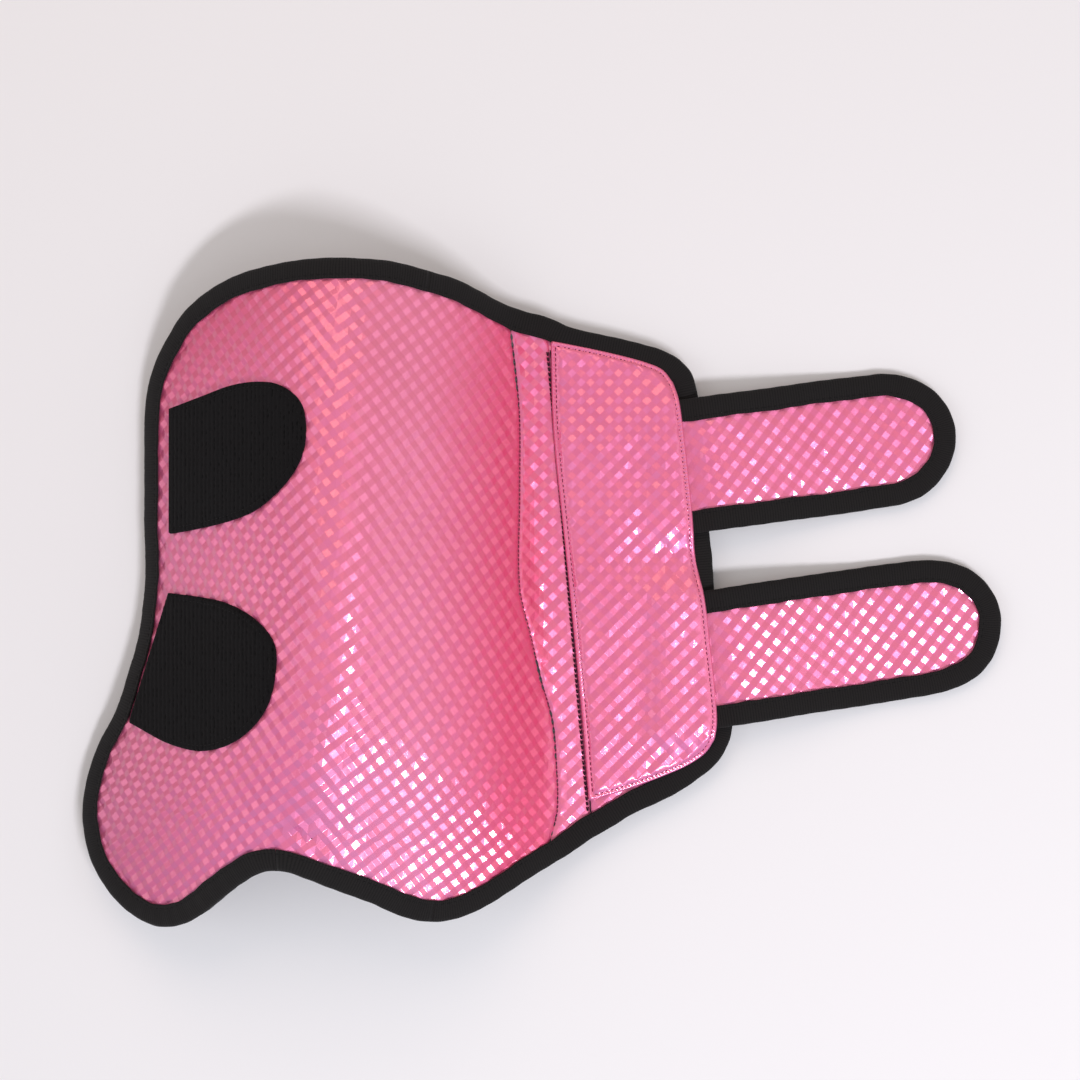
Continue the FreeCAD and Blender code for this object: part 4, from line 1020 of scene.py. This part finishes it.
def thread_material(name, dark, light, rough=0.55):
    m, nt, b = new_mat(name)
    L = nt.links
    co = node(nt, "ShaderNodeTexCoord")
    w = node(nt, "ShaderNodeTexWave", bands_direction="DIAGONAL", in_Scale=900.0, in_Distortion=0.5)
    L.new(co.outputs["Object"], w.inputs["Vector"])
    r = ramp(nt, w.outputs["Fac"], ((0.0, dark), (1.0, light)))
    L.new(r.outputs[0], b.inputs["Base Color"])
    b.inputs["Roughness"].default_value = rough
    b.inputs["Sheen Weight"].default_value = 0.03
    b.inputs["Specular IOR Level"].default_value = 0.2
    bump(nt, b, w.outputs["Fac"], 0.6, 0.0002)
    return m


def hook_material():
    m, nt, b = new_mat("hook_tape")
    L = nt.links
    co = node(nt, "ShaderNodeTexCoord")
    n = node(nt, "ShaderNodeTexNoise", in_Scale=700.0, in_Detail=3.0)
    L.new(co.outputs["Object"], n.inputs["Vector"])
    r = ramp(nt, n.outputs["Fac"], ((0.3, (0.010, 0.010, 0.011)), (0.7, (0.03, 0.03, 0.032))))
    L.new(r.outputs[0], b.inputs["Base Color"])
    b.inputs["Roughness"].default_value = 0.42
    bump(nt, b, n.outputs["Fac"], 0.3, 0.0002)
    return m


SKIN = skin_material("embossed_skin")
TAPE = tape_material()
LOOP = loop_material()
LINING = lining_material()
FOAM = foam_material()
BLACK_THREAD = thread_material("black_thread", (0.0015, 0.0014, 0.0015), (0.008, 0.0075, 0.008), 0.8)
PURPLE_THREAD = thread_material("plum_thread", (0.016, 0.002, 0.009), (0.11, 0.012, 0.06), 0.7)
MAGENTA_THREAD = thread_material("magenta_thread", (0.07, 0.001, 0.016), (0.24, 0.006, 0.058), 0.8)
HOOK = hook_material()

# ------------------------------------------------------------------- outlines
edge = spline_points(OUTLINE, True)
layer_edge = inset(BODY, edge, TAPE_T + EDGE_PLAY + 0.5)
stitch_edge = inset(BODY, edge, TAPE_W - 1.4)
MID_P = -42.35
seam_rows = sorted((q, p) for p, q in SEAM_LINE)
seam_p = lambda q: herm(seam_rows, q)
strip_p = lambda q: line_p(STRIP_LINE, q)


def side_run(fn, q0, q1, step=0.7):
    n = max(4, int(abs(q1 - q0) / step))
    q = np.linspace(q0, q1, n)[1:-1]
    return np.stack((fn(q) if callable(fn) else np.full(len(q), fn), q), -1)


def region(lo, hi, contour=None):
    """Part of the outline between two lines that run from its top to its bottom edge."""
    contour = layer_edge if contour is None else contour
    f = lambda fn, q: fn(q) if callable(fn) else fn
    def test(p, q):
        r = np.full(p.shape, 1e3)
        if lo is not None:
            r = np.minimum(r, p - f(lo, q))
        if hi is not None:
            r = np.minimum(r, f(hi, q) - p)
        return r
    runs = split_closed(contour, test)
    if lo is None:
        r = runs[0]
        return np.concatenate((r, side_run(hi, r[-1][1], r[0][1])))
    if hi is None:
        r = runs[0]
        return np.concatenate((r, side_run(lo, r[-1][1], r[0][1])))
    top = next(r for r in runs if r[0][1] > 0)
    bot = next(r for r in runs if r[0][1] < 0)
    return np.concatenate((top, side_run(hi, top[-1][1], bot[0][1]), bot, side_run(lo, bot[-1][1], top[0][1])))


# joints, from the record
JOINTS = {j["name"]: j for j in frame["record"]["behaviour"]["joints"]}


def fold(ob, joint):
    """Bake a piece's transform into its mesh; the joint's centre, axis and the direction across it are worked out but
    not used.
    """
    j = JOINTS[joint]
    c, ax = np.array(j["pos_m"]), np.array(j["axis"])
    across = np.cross((0, 0, 1.0), ax)
    across /= np.linalg.norm(across)
    if across[0] < 0:
        across = -across
    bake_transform(ob)


def wing_fold(ob):
    fold(ob, "wing_fold")


def flap_fold(ob):
    fold(ob, "flap_fold")


def crumple(p, q):
    """Faint hand-made unevenness of the stitched skin."""
    return (0.10 * np.sin(0.55 * p + 0.31 * q) * np.sin(0.47 * q - 0.21 * p)
            + 0.05 * np.sin(1.15 * p - 0.4 * q + 1.0) * np.sin(0.9 * q + 0.3 * p))


def step_up(x):
    x = np.clip(x, 0, 1)
    return x * x * (3 - 2 * x)


def seam_dip(p, q):
    d = p - seam_p(q)
    pucker = 0.10 * np.sin(q * 2 * math.pi / 3.3) * np.exp(-np.abs(d) / 2.5)
    return -0.36 - 0.75 * np.exp(-(d / 0.8) ** 2) + crumple(p, q) * 0.6 + pucker


def flat_seams(p, q):
    """The embossing is pressed flat where a seam is sewn."""
    a = step_up((np.abs(p - seam_p(q)) - 0.7) / 1.0)
    return a * step_up((np.abs(p - strip_p(q)) - 0.4) / 0.8)


def beside(fn, offsets, q0=82.0, q1=-118.0):
    q = np.arange(q1, q0, 0.8)
    return np.concatenate([np.stack((fn(q) + o, q), -1) for o in offsets])


# --------------------------------------------------------------- body layers
dome_map = Sheet(BODY, ((330 - 540) * 0.385, -23.0), -8.0, (-120.0, 150.0), (-165.0, 165.0))
flap_map = Sheet(BODY, (30.0, -20.0), 0.0, (-75.0, 75.0), (-130.0, 130.0))

skin_left, skin_right = embossed(("wing_and_shell_skin", "shell_skin"), dome_map, region(None, seam_p), SKIN, lift=seam_dip,
                                 fade=flat_seams, extra=beside(seam_p, (-0.45, -0.95, -1.5)), clear=0.5, split=MID_P)
wing_fold(skin_left)
flap_fold(skin_right)
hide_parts("wing_outer")
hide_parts("shell_outer")

strip_lift = lambda p, q: seam_dip(p, q) - 0.45 * np.exp(-((p - strip_p(q)) / 0.8) ** 2)
strip = embossed("seam_strip_skin", flap_map, region(seam_p, strip_p), SKIN, lift=strip_lift, fade=flat_seams,
                 extra=np.concatenate((beside(seam_p, (0.45, 0.95, 1.5)), beside(strip_p, (-0.4, -0.9)))), clear=0.5)
flap_fold(strip)
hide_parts("seam_strip")
flap_skin = embossed("flap_skin", flap_map, region(strip_p, None), SKIN, lift=strip_lift, fade=flat_seams)
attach(flap_skin, "flap")
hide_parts("flap_outer")

inner_edge = inset(BODY, edge, TAPE_T + EDGE_PLAY + 0.4)
for tag, lo_w, hi_w, mat, step in (("foam", -SKIN_T - PLAY - FOAM_T, -SKIN_T - PLAY - 0.35, FOAM, 5.0),
                                   ("lining", LOW, LOW + LINING_T, LINING, 3.0)):
    a = plain_sheet("wing_%s_sheet" % tag, BODY, region(None, MID_P, inner_edge), lo_w, hi_w, mat, step)
    wing_fold(a)
    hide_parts("wing_" + tag)
    b = plain_sheet("flap_%s_sheet" % tag, BODY, region(MID_P, None, inner_edge), lo_w, hi_w, mat, step)
    flap_fold(b)
    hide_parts("shell_" + tag, "flap_" + tag)

# ------------------------------------------------------------------ bindings
notch = int(np.argmin(np.hypot(edge[:, 0] + 101.2, edge[:, 1] + 125.0)))
loop = np.concatenate((edge[notch:], edge[:notch + 1]))        # one tape, from the notch all the way round
s = cumlen(loop)
x = np.linspace(-1.25, s[-1] + 1.25, len(loop) * 2)
loop = np.stack([np.interp(x % s[-1], s, loop[:, k]) for k in (0, 1)], -1)


def mid_cuts(P):
    d = P[:, 0] - MID_P
    mid = [int(i) + (1 if abs(d[i + 1]) < abs(d[i]) else 0) for i in np.nonzero(d[:-1] * d[1:] < 0)[0]]
    return [1] + mid + [len(P) - 2]


_, a, b, c, _ = binding_mesh(BODY, loop, LOW, 0.0, seed=0.7, cuts=mid_cuts)
left = joined("wing_binding_tape", [a, c], TAPE)
wing_fold(left)
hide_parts("wing_binding")
right = joined("flap_binding_tape", [b], TAPE)
flap_fold(right)
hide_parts("shell_binding", "flap_binding")

st_w = TAPE_PLAY + TAPE_T * 0.80
g = stitch_mesh(BODY, split_closed(stitch_edge, lambda p, q: MID_P - p)[0], st_w, 1.5, 2.4, 0.17, 0.12)
o = joined("wing_binding_stitches", [g], BLACK_THREAD)
wing_fold(o)
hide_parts("wing_binding_stitching")
g = [stitch_mesh(BODY, r, st_w, 1.5, 2.4, 0.17, 0.12)
     for r in split_closed(stitch_edge, lambda p, q: p - MID_P)]
o = joined("flap_binding_stitches", g, BLACK_THREAD)
flap_fold(o)
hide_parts("shell_binding_stitching", "flap_binding_stitching")

def dark_tube(S, run, w, r):
    """Thin round tube lying on the cloth."""
    P = even(S, run, 0.9)
    s = cumlen(S.at(P[:, 0], P[:, 1]))
    X = S.off(P[:, 0], P[:, 1], w + 0.06 * np.sin(s * 2.1) + 0.05 * np.sin(s * 0.7))
    N = S.normal(P[:, 0], P[:, 1])
    B = inward(S, P, False)
    X = X + B * (0.07 * np.sin(s * 1.3))[:, None]
    n, m = len(P), 8
    V = np.stack([X + (B * math.cos(2 * math.pi * j / m) + N * math.sin(2 * math.pi * j / m)) * r for j in range(m)], 1)
    F = [(i * m + j, (i + 1) * m + j, (i + 1) * m + (j + 1) % m, i * m + (j + 1) % m) for i in range(n - 1) for j in range(m)]
    F.append(tuple(range(m)))
    F.append(tuple((n - 1) * m + j for j in reversed(range(m))))
    return V.reshape(-1, 3), F, np.zeros((n * m, 2))


# seam between the dome and the strip, and the heavy row along the strip's other side
q_top, q_low = 77.0, -112.0
seam_run = side_run(seam_p, q_top, q_low, 1.5)
g1 = stitch_mesh(BODY, seam_run, -0.75, 1.25, 1.65, 0.15, 0.12)
strip_run = side_run(lambda q: strip_p(q) - 0.9, 74.5, -107.5, 1.5)
strip_run2 = side_run(lambda q: strip_p(q) - 0.45, 74.5, -107.5, 1.5)
g2 = stitch_mesh(BODY, strip_run, -0.12, 1.65, 1.95, 0.23, 0.16, slant=0.12)
g3 = stitch_mesh(BODY, strip_run2, -0.22, 1.5, 1.95, 0.22, 0.15, slant=-0.15)
# a thin dark tube along the narrow gap beside the strip darkens that gap
gap_tube = dark_tube(BODY, side_run(lambda q: strip_p(q) + 0.42, 74.0, -107.0, 1.0), 0.03, 0.25)
seam_ob = joined("seam_stitches", [g1, g3], PURPLE_THREAD)
flap_fold(seam_ob)
strip_ob = joined("strip_stitches", [g2, gap_tube], BLACK_THREAD)
flap_fold(strip_ob)
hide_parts("strip_stitching")

# --------------------------------------------------------------- loop patches
rows = []
for name, table in (("upper", UPPER_PATCH), ("lower", LOWER_PATCH)):
    run = spline_points(table, False)
    poly = np.concatenate((run, resample(np.array([run[-1], run[0]]), 20)[1:-1]))
    poly_r = resample(np.concatenate((poly, poly[:1])), 150)[:-1]

    def top_w(p, q, poly_r=poly_r):
        d = distance(poly_r, p, q)
        e = np.clip(d / 1.1, 0, 1)
        knit = 0.05 * np.sin(p * 2 * math.pi / 1.9) * np.sin(q * 2 * math.pi / 1.5)
        dip = -0.30 * np.exp(-((d - 2.0) / 0.55) ** 2)
        return PATCH_LIFT + 0.55 + (PATCH_T - 0.55) * np.sqrt(np.maximum(1 - (1 - e) ** 2, 0)) + knit * e + dip
    o = plain_sheet(name + "_loop_pile", BODY, poly_r, -0.2, top_w, LOOP, 0.85, 0.35)
    wing_fold(o)
    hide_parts(name + "_loop_patch")
    ins = inset(BODY, run, 2.0, False)[3:-3]
    rows.append(stitch_mesh(BODY, ins, PATCH_LIFT + PATCH_T - 0.28, 1.5, 2.1, 0.18, 0.14))
o = joined("patch_stitches", rows, BLACK_THREAD)
wing_fold(o)
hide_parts("patch_stitching")


# --------------------------------------------------------------------- pad
pad_edge = np.concatenate((spline_points(PAD_LEFT[::-1], False)[:-1], spline_points(PAD_TOP, False)[:-1],
                           spline_points(PAD_RIGHT, False)[:-1], spline_points(PAD_BOTTOM[::-1], False)[:-1]))
pad_edge = resample(np.concatenate((pad_edge, pad_edge[:1])), 300)[:-1]


def pad_inset(a):
    """Run inside the pad's edge, without the crossings an inset makes at sharp corners."""
    r = inset(BODY, ccw(pad_edge)[::-1], a)
    r = r[distance(pad_edge, r[:, 0], r[:, 1]) > 0.965 * a]
    return resample(np.concatenate((r, r[:1])), 300)[:-1]


def over_strap(p, q):
    """1 where the pad's edge rides over a strap root."""
    s = np.zeros(np.shape(p))
    for a, b in ((-0.8, 57.8), (-78.3, -16.2)):
        m = 1 / (1 + np.exp(-(q - a) / 2.0)) * 1 / (1 + np.exp((q - b) / 2.0))
        s = s + m
    return s * (1 / (1 + np.exp(-(p - 43.0) / 2.2)))


def swollen_crown():
    """Shape of the stuffed pad, from a cloth blank sewn down at its edge and swollen by pressure."""
    ring = resample(np.concatenate((PAD_RING, PAD_RING[:1])), 170)[:-1]
    ring = ccw(ring)
    lo, hi = ring.min(0), ring.max(0)
    pts, faces = fill(ring, np.arange(lo[0], hi[0], 2.6), np.arange(lo[1], hi[1], 2.6), 1.2)
    n, m = len(pts), len(ring)
    z = np.where(np.arange(n) < m, 0.02, 0.25)
    V = np.concatenate((np.column_stack((pts, z)), np.column_stack((pts, -z)))) * MM
    F = list(faces) + [tuple(n + i for i in reversed(f)) for f in faces] + [(i, n + i, n + (i + 1) % m, (i + 1) % m) for i in range(m)]
    me = bpy.data.meshes.new("pad_blank")
    me.from_pydata(V, [], F)
    ob = bpy.data.objects.new("pad_blank", me)
    bpy.context.scene.collection.objects.link(ob)
    g = ob.vertex_groups.new(name="sewn")
    g.add([i for i in range(m)] + [n + i for i in range(m)], 1.0, "REPLACE")
    md = ob.modifiers.new("Cloth", "CLOTH")
    st = md.settings
    st.quality = 6
    st.mass = 0.12
    st.tension_stiffness = st.compression_stiffness = 12.0
    st.shear_stiffness = 4.0
    st.bending_stiffness = 0.02
    st.shrink_min = -0.035
    st.use_pressure = True
    st.uniform_pressure_force = 4.0
    st.effector_weights.gravity = 0.0
    st.vertex_group_mass = "sewn"
    sc = bpy.context.scene
    for f in range(1, 26):
        sc.frame_set(f)
    ev = ob.evaluated_get(bpy.context.evaluated_depsgraph_get())
    co = np.empty(len(V) * 3, np.float32)
    ev.data.vertices.foreach_get("co", co)
    co = co.reshape(-1, 3)[:n].astype(float) / MM
    bpy.data.objects.remove(ob)
    bpy.data.meshes.remove(me)
    sc.frame_set(1)
    top = co[:, 2]
    top = np.clip(top, 0, np.percentile(top, 99)) / np.percentile(top, 99)
    # the stuffing evens out the blank's own buckles: keep its broad shape and a little of its detail
    far = ((co[:, None, :2] - co[None, :, :2]) ** 2).sum(2)
    w = np.exp(-far / (2 * 5.5 ** 2))
    broad = (w @ top) / w.sum(1)
    top = (0.86 * broad + 0.14 * top) ** 0.75
    tree = KDTree(n)
    for k in range(n):
        tree.insert((co[k, 0], co[k, 1], 0.0), k)
    tree.balance()
    def crown(p, q, d):
        out = np.empty(np.shape(p))
        for i, (x, y) in enumerate(zip(np.ravel(p).tolist(), np.ravel(q).tolist())):
            near = tree.find_n((x, y, 0.0), 26)
            w = np.array([math.exp(-(r[2] / 2.6) ** 2) for r in near])
            out.flat[i] = np.dot(w, top[[r[1] for r in near]]) / w.sum()
        return out * np.clip((d - 1.6) / 0.8, 0, 1)
    print("pad crown from cloth:", float(co[:, 2].max()), float(top.mean()))
    return crown


PAD_RING = pad_inset(1.75)
CROWN = swollen_crown()


def pad_lift(p, q):
    d = distance(pad_edge, p, q)
    over = over_strap(p, q)
    rim = 0.35 + 3.3 * over
    roll = 1.15 * np.sqrt(np.maximum(1 - (1 - np.clip(d / 1.1, 0, 1)) ** 2, 0))
    dip = -0.62 * np.exp(-((d - 1.75) / 0.5) ** 2)
    body = (3.2 - 2.1 * over) * CROWN(p, q, d)
    pucker = 0.05 * np.sin(p * 1.9 + 0.3) * np.sin(q * 1.7) * np.exp(-np.abs(d - 2.5) / 3.0)
    return rim + roll + dip + body + pucker + 0.6 * crumple(p, q) * np.clip(d / 4, 0, 1)


def pad_floor(p, q):
    return 0.05 + 3.35 * over_strap(p, q)


pad_edge = ccw(pad_edge)[::-1]
pad_rings = np.concatenate([pad_inset(a) for a in (0.12, 0.35, 0.7, 1.1, 1.45, 1.75, 2.1, 2.6)])
pad = embossed("pad_cover_skin", flap_map, pad_edge, SKIN, lift=pad_lift, thick=0.3, margin=2.7, extra=pad_rings,
               fade=lambda p, q: step_up((distance(pad_edge, p, q) - 2.2) / 1.6))
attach(pad, "flap")
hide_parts("pad_cover")
pad_in = pad_inset(3.0)
o = plain_sheet("pad_stuffing", BODY, pad_in, lambda p, q: pad_floor(p, q) + 0.1, lambda p, q: np.maximum(pad_lift(p, q) - 1.1, pad_floor(p, q) + 0.3), FOAM, 4.0)
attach(o, "flap")
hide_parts("pad_foam")
pad_row = pad_inset(1.75)
pad_row = np.concatenate((pad_row, pad_row[:1]))
o = joined("pad_stitches", [stitch_mesh(BODY, pad_row, pad_lift, 1.6, 2.0, 0.23, 0.13)], MAGENTA_THREAD)
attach(o, "flap")
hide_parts("pad_stitching")


# -------------------------------------------------------------------- straps
class StrapSurface(Surface):
    def __init__(self, fold_line):
        self.fold_line = fold_line
        super().__init__(self.mid)

    def half(self, p, q):
        s = side_of(self.fold_line, p, q)
        t = np.clip((s + 8.0) / 8.0, 0, 1)
        return 1.10 + 0.75 * t * t * (3 - 2 * t)

    def mid(self, p, q):
        s = side_of(self.fold_line, p, q)
        t = np.clip(s / STRAP_SAG_L, 0, 1)
        free = STRAP_AXIS_Z - (STRAP_AXIS_Z - STRAP_REST_Z) * t * t * (3 - 2 * t)
        return free - (1.85 - self.half(p, q)) + 0.18 * np.sin(s * 0.11 + 0.8) * np.clip(s / 20.0, 0, 1) * np.sin(q * 0.09)

    def off(self, p, q, w):
        return self.at(p, q) + self.normal(p, q) * (np.asarray(w) * self.half(p, q) / 1.85)[..., None]


def hooks(S, poly, w):
    """Rows of small hooked stems."""
    lo, hi = poly.min(0), poly.max(0)
    X, Y = np.meshgrid(np.arange(lo[0], hi[0], 1.7), np.arange(lo[1], hi[1], 1.5), indexing="ij")
    x, y = X.ravel(), Y.ravel()
    ok = inside(poly, x, y)
    x, y = x[ok], y[ok]
    ok = distance(poly, x, y) > 0.9
    x, y = x[ok], y[ok]
    base = S.off(x, y, np.full(x.shape, w))
    n = -S.normal(x, y)
    prof = ((0.0, 0.28, 0.0), (0.45, 0.17, 0.0), (0.75, 0.15, 0.05), (0.9, 0.24, 0.22), (0.82, 0.10, 0.50))
    verts, faces, k = [], [], 0
    for b, d in zip(base, n):
        for h, r, sx in prof:
            for j in range(4):
                a = math.pi / 2 * j + 0.785
                verts.append(b + d * h + np.array((math.cos(a) * r + sx, math.sin(a) * r, 0)))
        for i in range(len(prof) - 1):
            for j in range(4):
                a, c = k + i * 4 + j, k + i * 4 + (j + 1) % 4
                faces.append((a, c, c + 4, a + 4))
        faces.append((k + 3, k + 2, k + 1, k))
        e = k + (len(prof) - 1) * 4
        faces.append((e, e + 1, e + 2, e + 3))
        k += len(prof) * 4
    return np.array(verts), faces, np.zeros((len(verts), 2))


for name, t1, t2, t3, fl, pre, post in (
        ("upper", UPPER_STRAP_TOP, UPPER_STRAP_TIP, UPPER_STRAP_BOT, UPPER_FOLD_LINE, (668, 401.6), (676, 535.6)),
        ("lower", LOWER_STRAP_TOP, LOWER_STRAP_TIP, LOWER_STRAP_BOT, LOWER_FOLD_LINE, (686, 593.6), (699, 730.7))):
    S = StrapSurface(fl)
    to_mm = lambda x: ((x[0] - 540) * 0.385, (540 - x[1]) * 0.385)
    run = spline_points([to_mm(pre)] + t1 + t2[1:] + t3[1:] + [to_mm(post)], False)
    closed = np.concatenate((run, resample(np.array([run[-1], run[0]]), 24)[1:-1]))
    strap = name + "_strap"
    fold_it = lambda ob: fold(ob, strap + "_fold")
    top_w = STRAP_HALF - TAPE_T - TAPE_PLAY
    skin_edge = inset(S, closed, 1.2)
    c = closed.mean(0)
    smap = Sheet(S, c, 7.5, (-85.0, 85.0), (-45.0, 45.0))
    side = lambda p, q, e=skin_edge: (top_w - 0.36 - 0.22 * np.exp(-np.maximum(distance(e, p, q) - 7.0, 0) / 2.2)
                                      + 0.7 * crumple(p, q))
    o = embossed(strap + "_skin", smap, skin_edge, SKIN, lift=side, thick=0.40)
    fold_it(o)
    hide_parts(strap + "_face")
    o = plain_sheet(strap + "_stiffener", S, skin_edge, -0.50, -0.12, FOAM, 4.0)
    fold_it(o)
    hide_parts(strap + "_core", name + "_strap_root")
    o = plain_sheet(strap + "_backing", S, skin_edge, -top_w, -0.56, LINING, 3.0)
    fold_it(o)
    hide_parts(strap + "_lining")
    o = joined(strap + "_binding_tape", [binding_mesh(S, run, -top_w, top_w, seed=5.0 if name == "upper" else 7.3)], TAPE)
    fold_it(o)
    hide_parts(strap + "_binding")
    o = joined(strap + "_stitches", [stitch_mesh(S, inset(S, run, TAPE_W - 1.4, False)[2:-2], top_w + TAPE_PLAY + TAPE_T * 0.8, 1.5, 2.4, 0.17, 0.12)], BLACK_THREAD)
    fold_it(o)
    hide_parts(strap + "_stitching")
    hk = split_closed(inset(S, closed, TAPE_W + 0.7), lambda p, q, fl=fl: side_of(fl, p, q) - STRAP_SAG_L - 1.7)[0]
    hk = np.concatenate((resample(hk, 60), resample(np.array([hk[-1], hk[0]]), 14)[1:-1]))
    base = plain_sheet(name + "_hook_sheet", S, hk, -1.55, -top_w - 0.03, HOOK, 3.0)
    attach(base, strap)
    hv = joined(name + "_hooks", [hooks(S, hk, -1.5)], HOOK, smooth=False)
    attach(hv, strap)
    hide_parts(name + "_hook_tape")

for ob in bpy.data.objects:
    if ob.type == "MESH" and ob.data.materials and ob.data.materials[0]:
        n = ob.data.materials[0].name
        s = {"embossed_skin": "embossed_skin", "binding_tape": "binding_tape", "loop_tape": "loop_tape", "lining_knit": "lining",
             "foam_cells": "foam", "black_thread": "dark_thread", "plum_thread": "dark_thread", "magenta_thread": "pad_thread",
             "hook_tape": "hook_tape"}.get(n)

# -------------------------------------------------- floor, light and camera
floor_me = bpy.data.meshes.new("floor")
R = 6.0
floor_me.from_pydata([(-R, -R, 0), (R, -R, 0), (R, R, 0), (-R, R, 0)], [], [(0, 1, 2, 3)])
floor = bpy.data.objects.new("floor", floor_me)
bpy.context.scene.collection.objects.link(floor)
fm, nt, b = new_mat("pale_floor")
nz = node(nt, "ShaderNodeTexNoise", in_Scale=3.0, in_Detail=6.0)
rr = ramp(nt, nz.outputs["Fac"], ((0.3, (0.80, 0.80, 0.80)), (0.7, (0.84, 0.84, 0.84))))
nt.links.new(rr.outputs[0], b.inputs["Base Color"])
b.inputs["Roughness"].default_value = 0.8
b.inputs["Specular IOR Level"].default_value = 0.2
floor_me.materials.append(fm)
floor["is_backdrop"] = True

# the floor sinks under folded parts, so that nothing cuts through it
low_points = []
for body in ("wing", "flap", "upper_strap", "lower_strap"):
    for k, (n, use) in enumerate({"wing": (("wing_binding", "min"),), "flap": (("flap_binding", "max"), ("pad_cover", "max")),
                                  "upper_strap": (("upper_strap_binding", "max"),),
                                  "lower_strap": (("lower_strap_binding", "max"),)}[body]):
        lo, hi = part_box(n)
        x = lo[0] if use == "min" else hi[0]
        for y in (lo[1], hi[1]):
            e = bpy.data.objects.new("low_%s_%d_%d" % (body, k, len(low_points)), None)
            e.location = (x, y, 0.0)
            bpy.context.scene.collection.objects.link(e)
            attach(e, body)
            low_points.append(e)
drv = floor.driver_add("location", 2).driver
drv.type = "SCRIPTED"
names = []
for k, e in enumerate(low_points):
    v = drv.variables.new()
    v.name = "v%d" % k
    v.type = "TRANSFORMS"
    v.targets[0].id = e
    v.targets[0].transform_type = "LOC_Z"
    v.targets[0].transform_space = "WORLD_SPACE"
    names.append(v.name)
drv.expression = "min(-0.0005, %s)" % ", ".join(n + " * 1.06 + 0.001" for n in names)


def area(name, loc, target, size, power, color, size_y=None):
    l = bpy.data.lights.new(name, "AREA")
    l.shape = "RECTANGLE" if size_y else "SQUARE"
    l.size = size
    if size_y:
        l.size_y = size_y
    l.energy = power
    l.color = color
    o = bpy.data.objects.new(name, l)
    o.location = loc
    o.rotation_euler = (Vector(target) - Vector(loc)).to_track_quat("-Z", "Y").to_euler()
    bpy.context.scene.collection.objects.link(o)
    return o


cx, cy = SHIFT[0] * MM, SHIFT[1] * MM
area("key_light", (cx + 0.56, cy - 0.76, 1.20), (cx + 0.02, cy - 0.02, 0.03), 0.60, 13.2, (0.96, 0.93, 1.0), 0.13)
area("warm_light", (cx - 0.25, cy + 1.15, 1.05), (cx, cy, 0.03), 1.0, 6.5, (1.0, 0.70, 0.55))
area("left_fill", (cx - 1.3, cy - 0.1, 0.9), (cx, cy, 0.03), 0.9, 3.0, (0.97, 0.97, 1.0))
area("right_fill", (cx + 1.3, cy + 0.1, 1.0), (cx, cy, 0.03), 0.9, 2.0, (1.0, 0.96, 0.97))
w = bpy.data.worlds.new("studio")
bpy.context.scene.world = w
w.use_nodes = True
w.node_tree.nodes["Background"].inputs[0].default_value = (0.93, 0.95, 1.0, 1.0)
w.node_tree.nodes["Background"].inputs[1].default_value = 0.45

cam = bpy.data.cameras.new("camera")
cam.sensor_width = 36.0
cam.lens = 36.0 * STATION / (1080 * 0.385)
cam_ob = bpy.data.objects.new("camera", cam)
cam_ob.location = (cx, cy, STATION * MM + SHIFT[2] * MM)
cam_ob.rotation_euler = (0.0, 0.0, 0.0)
bpy.context.scene.collection.objects.link(cam_ob)
bpy.context.scene.camera = cam_ob
bpy.context.scene.view_settings.view_transform = "Standard"

lo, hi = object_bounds()
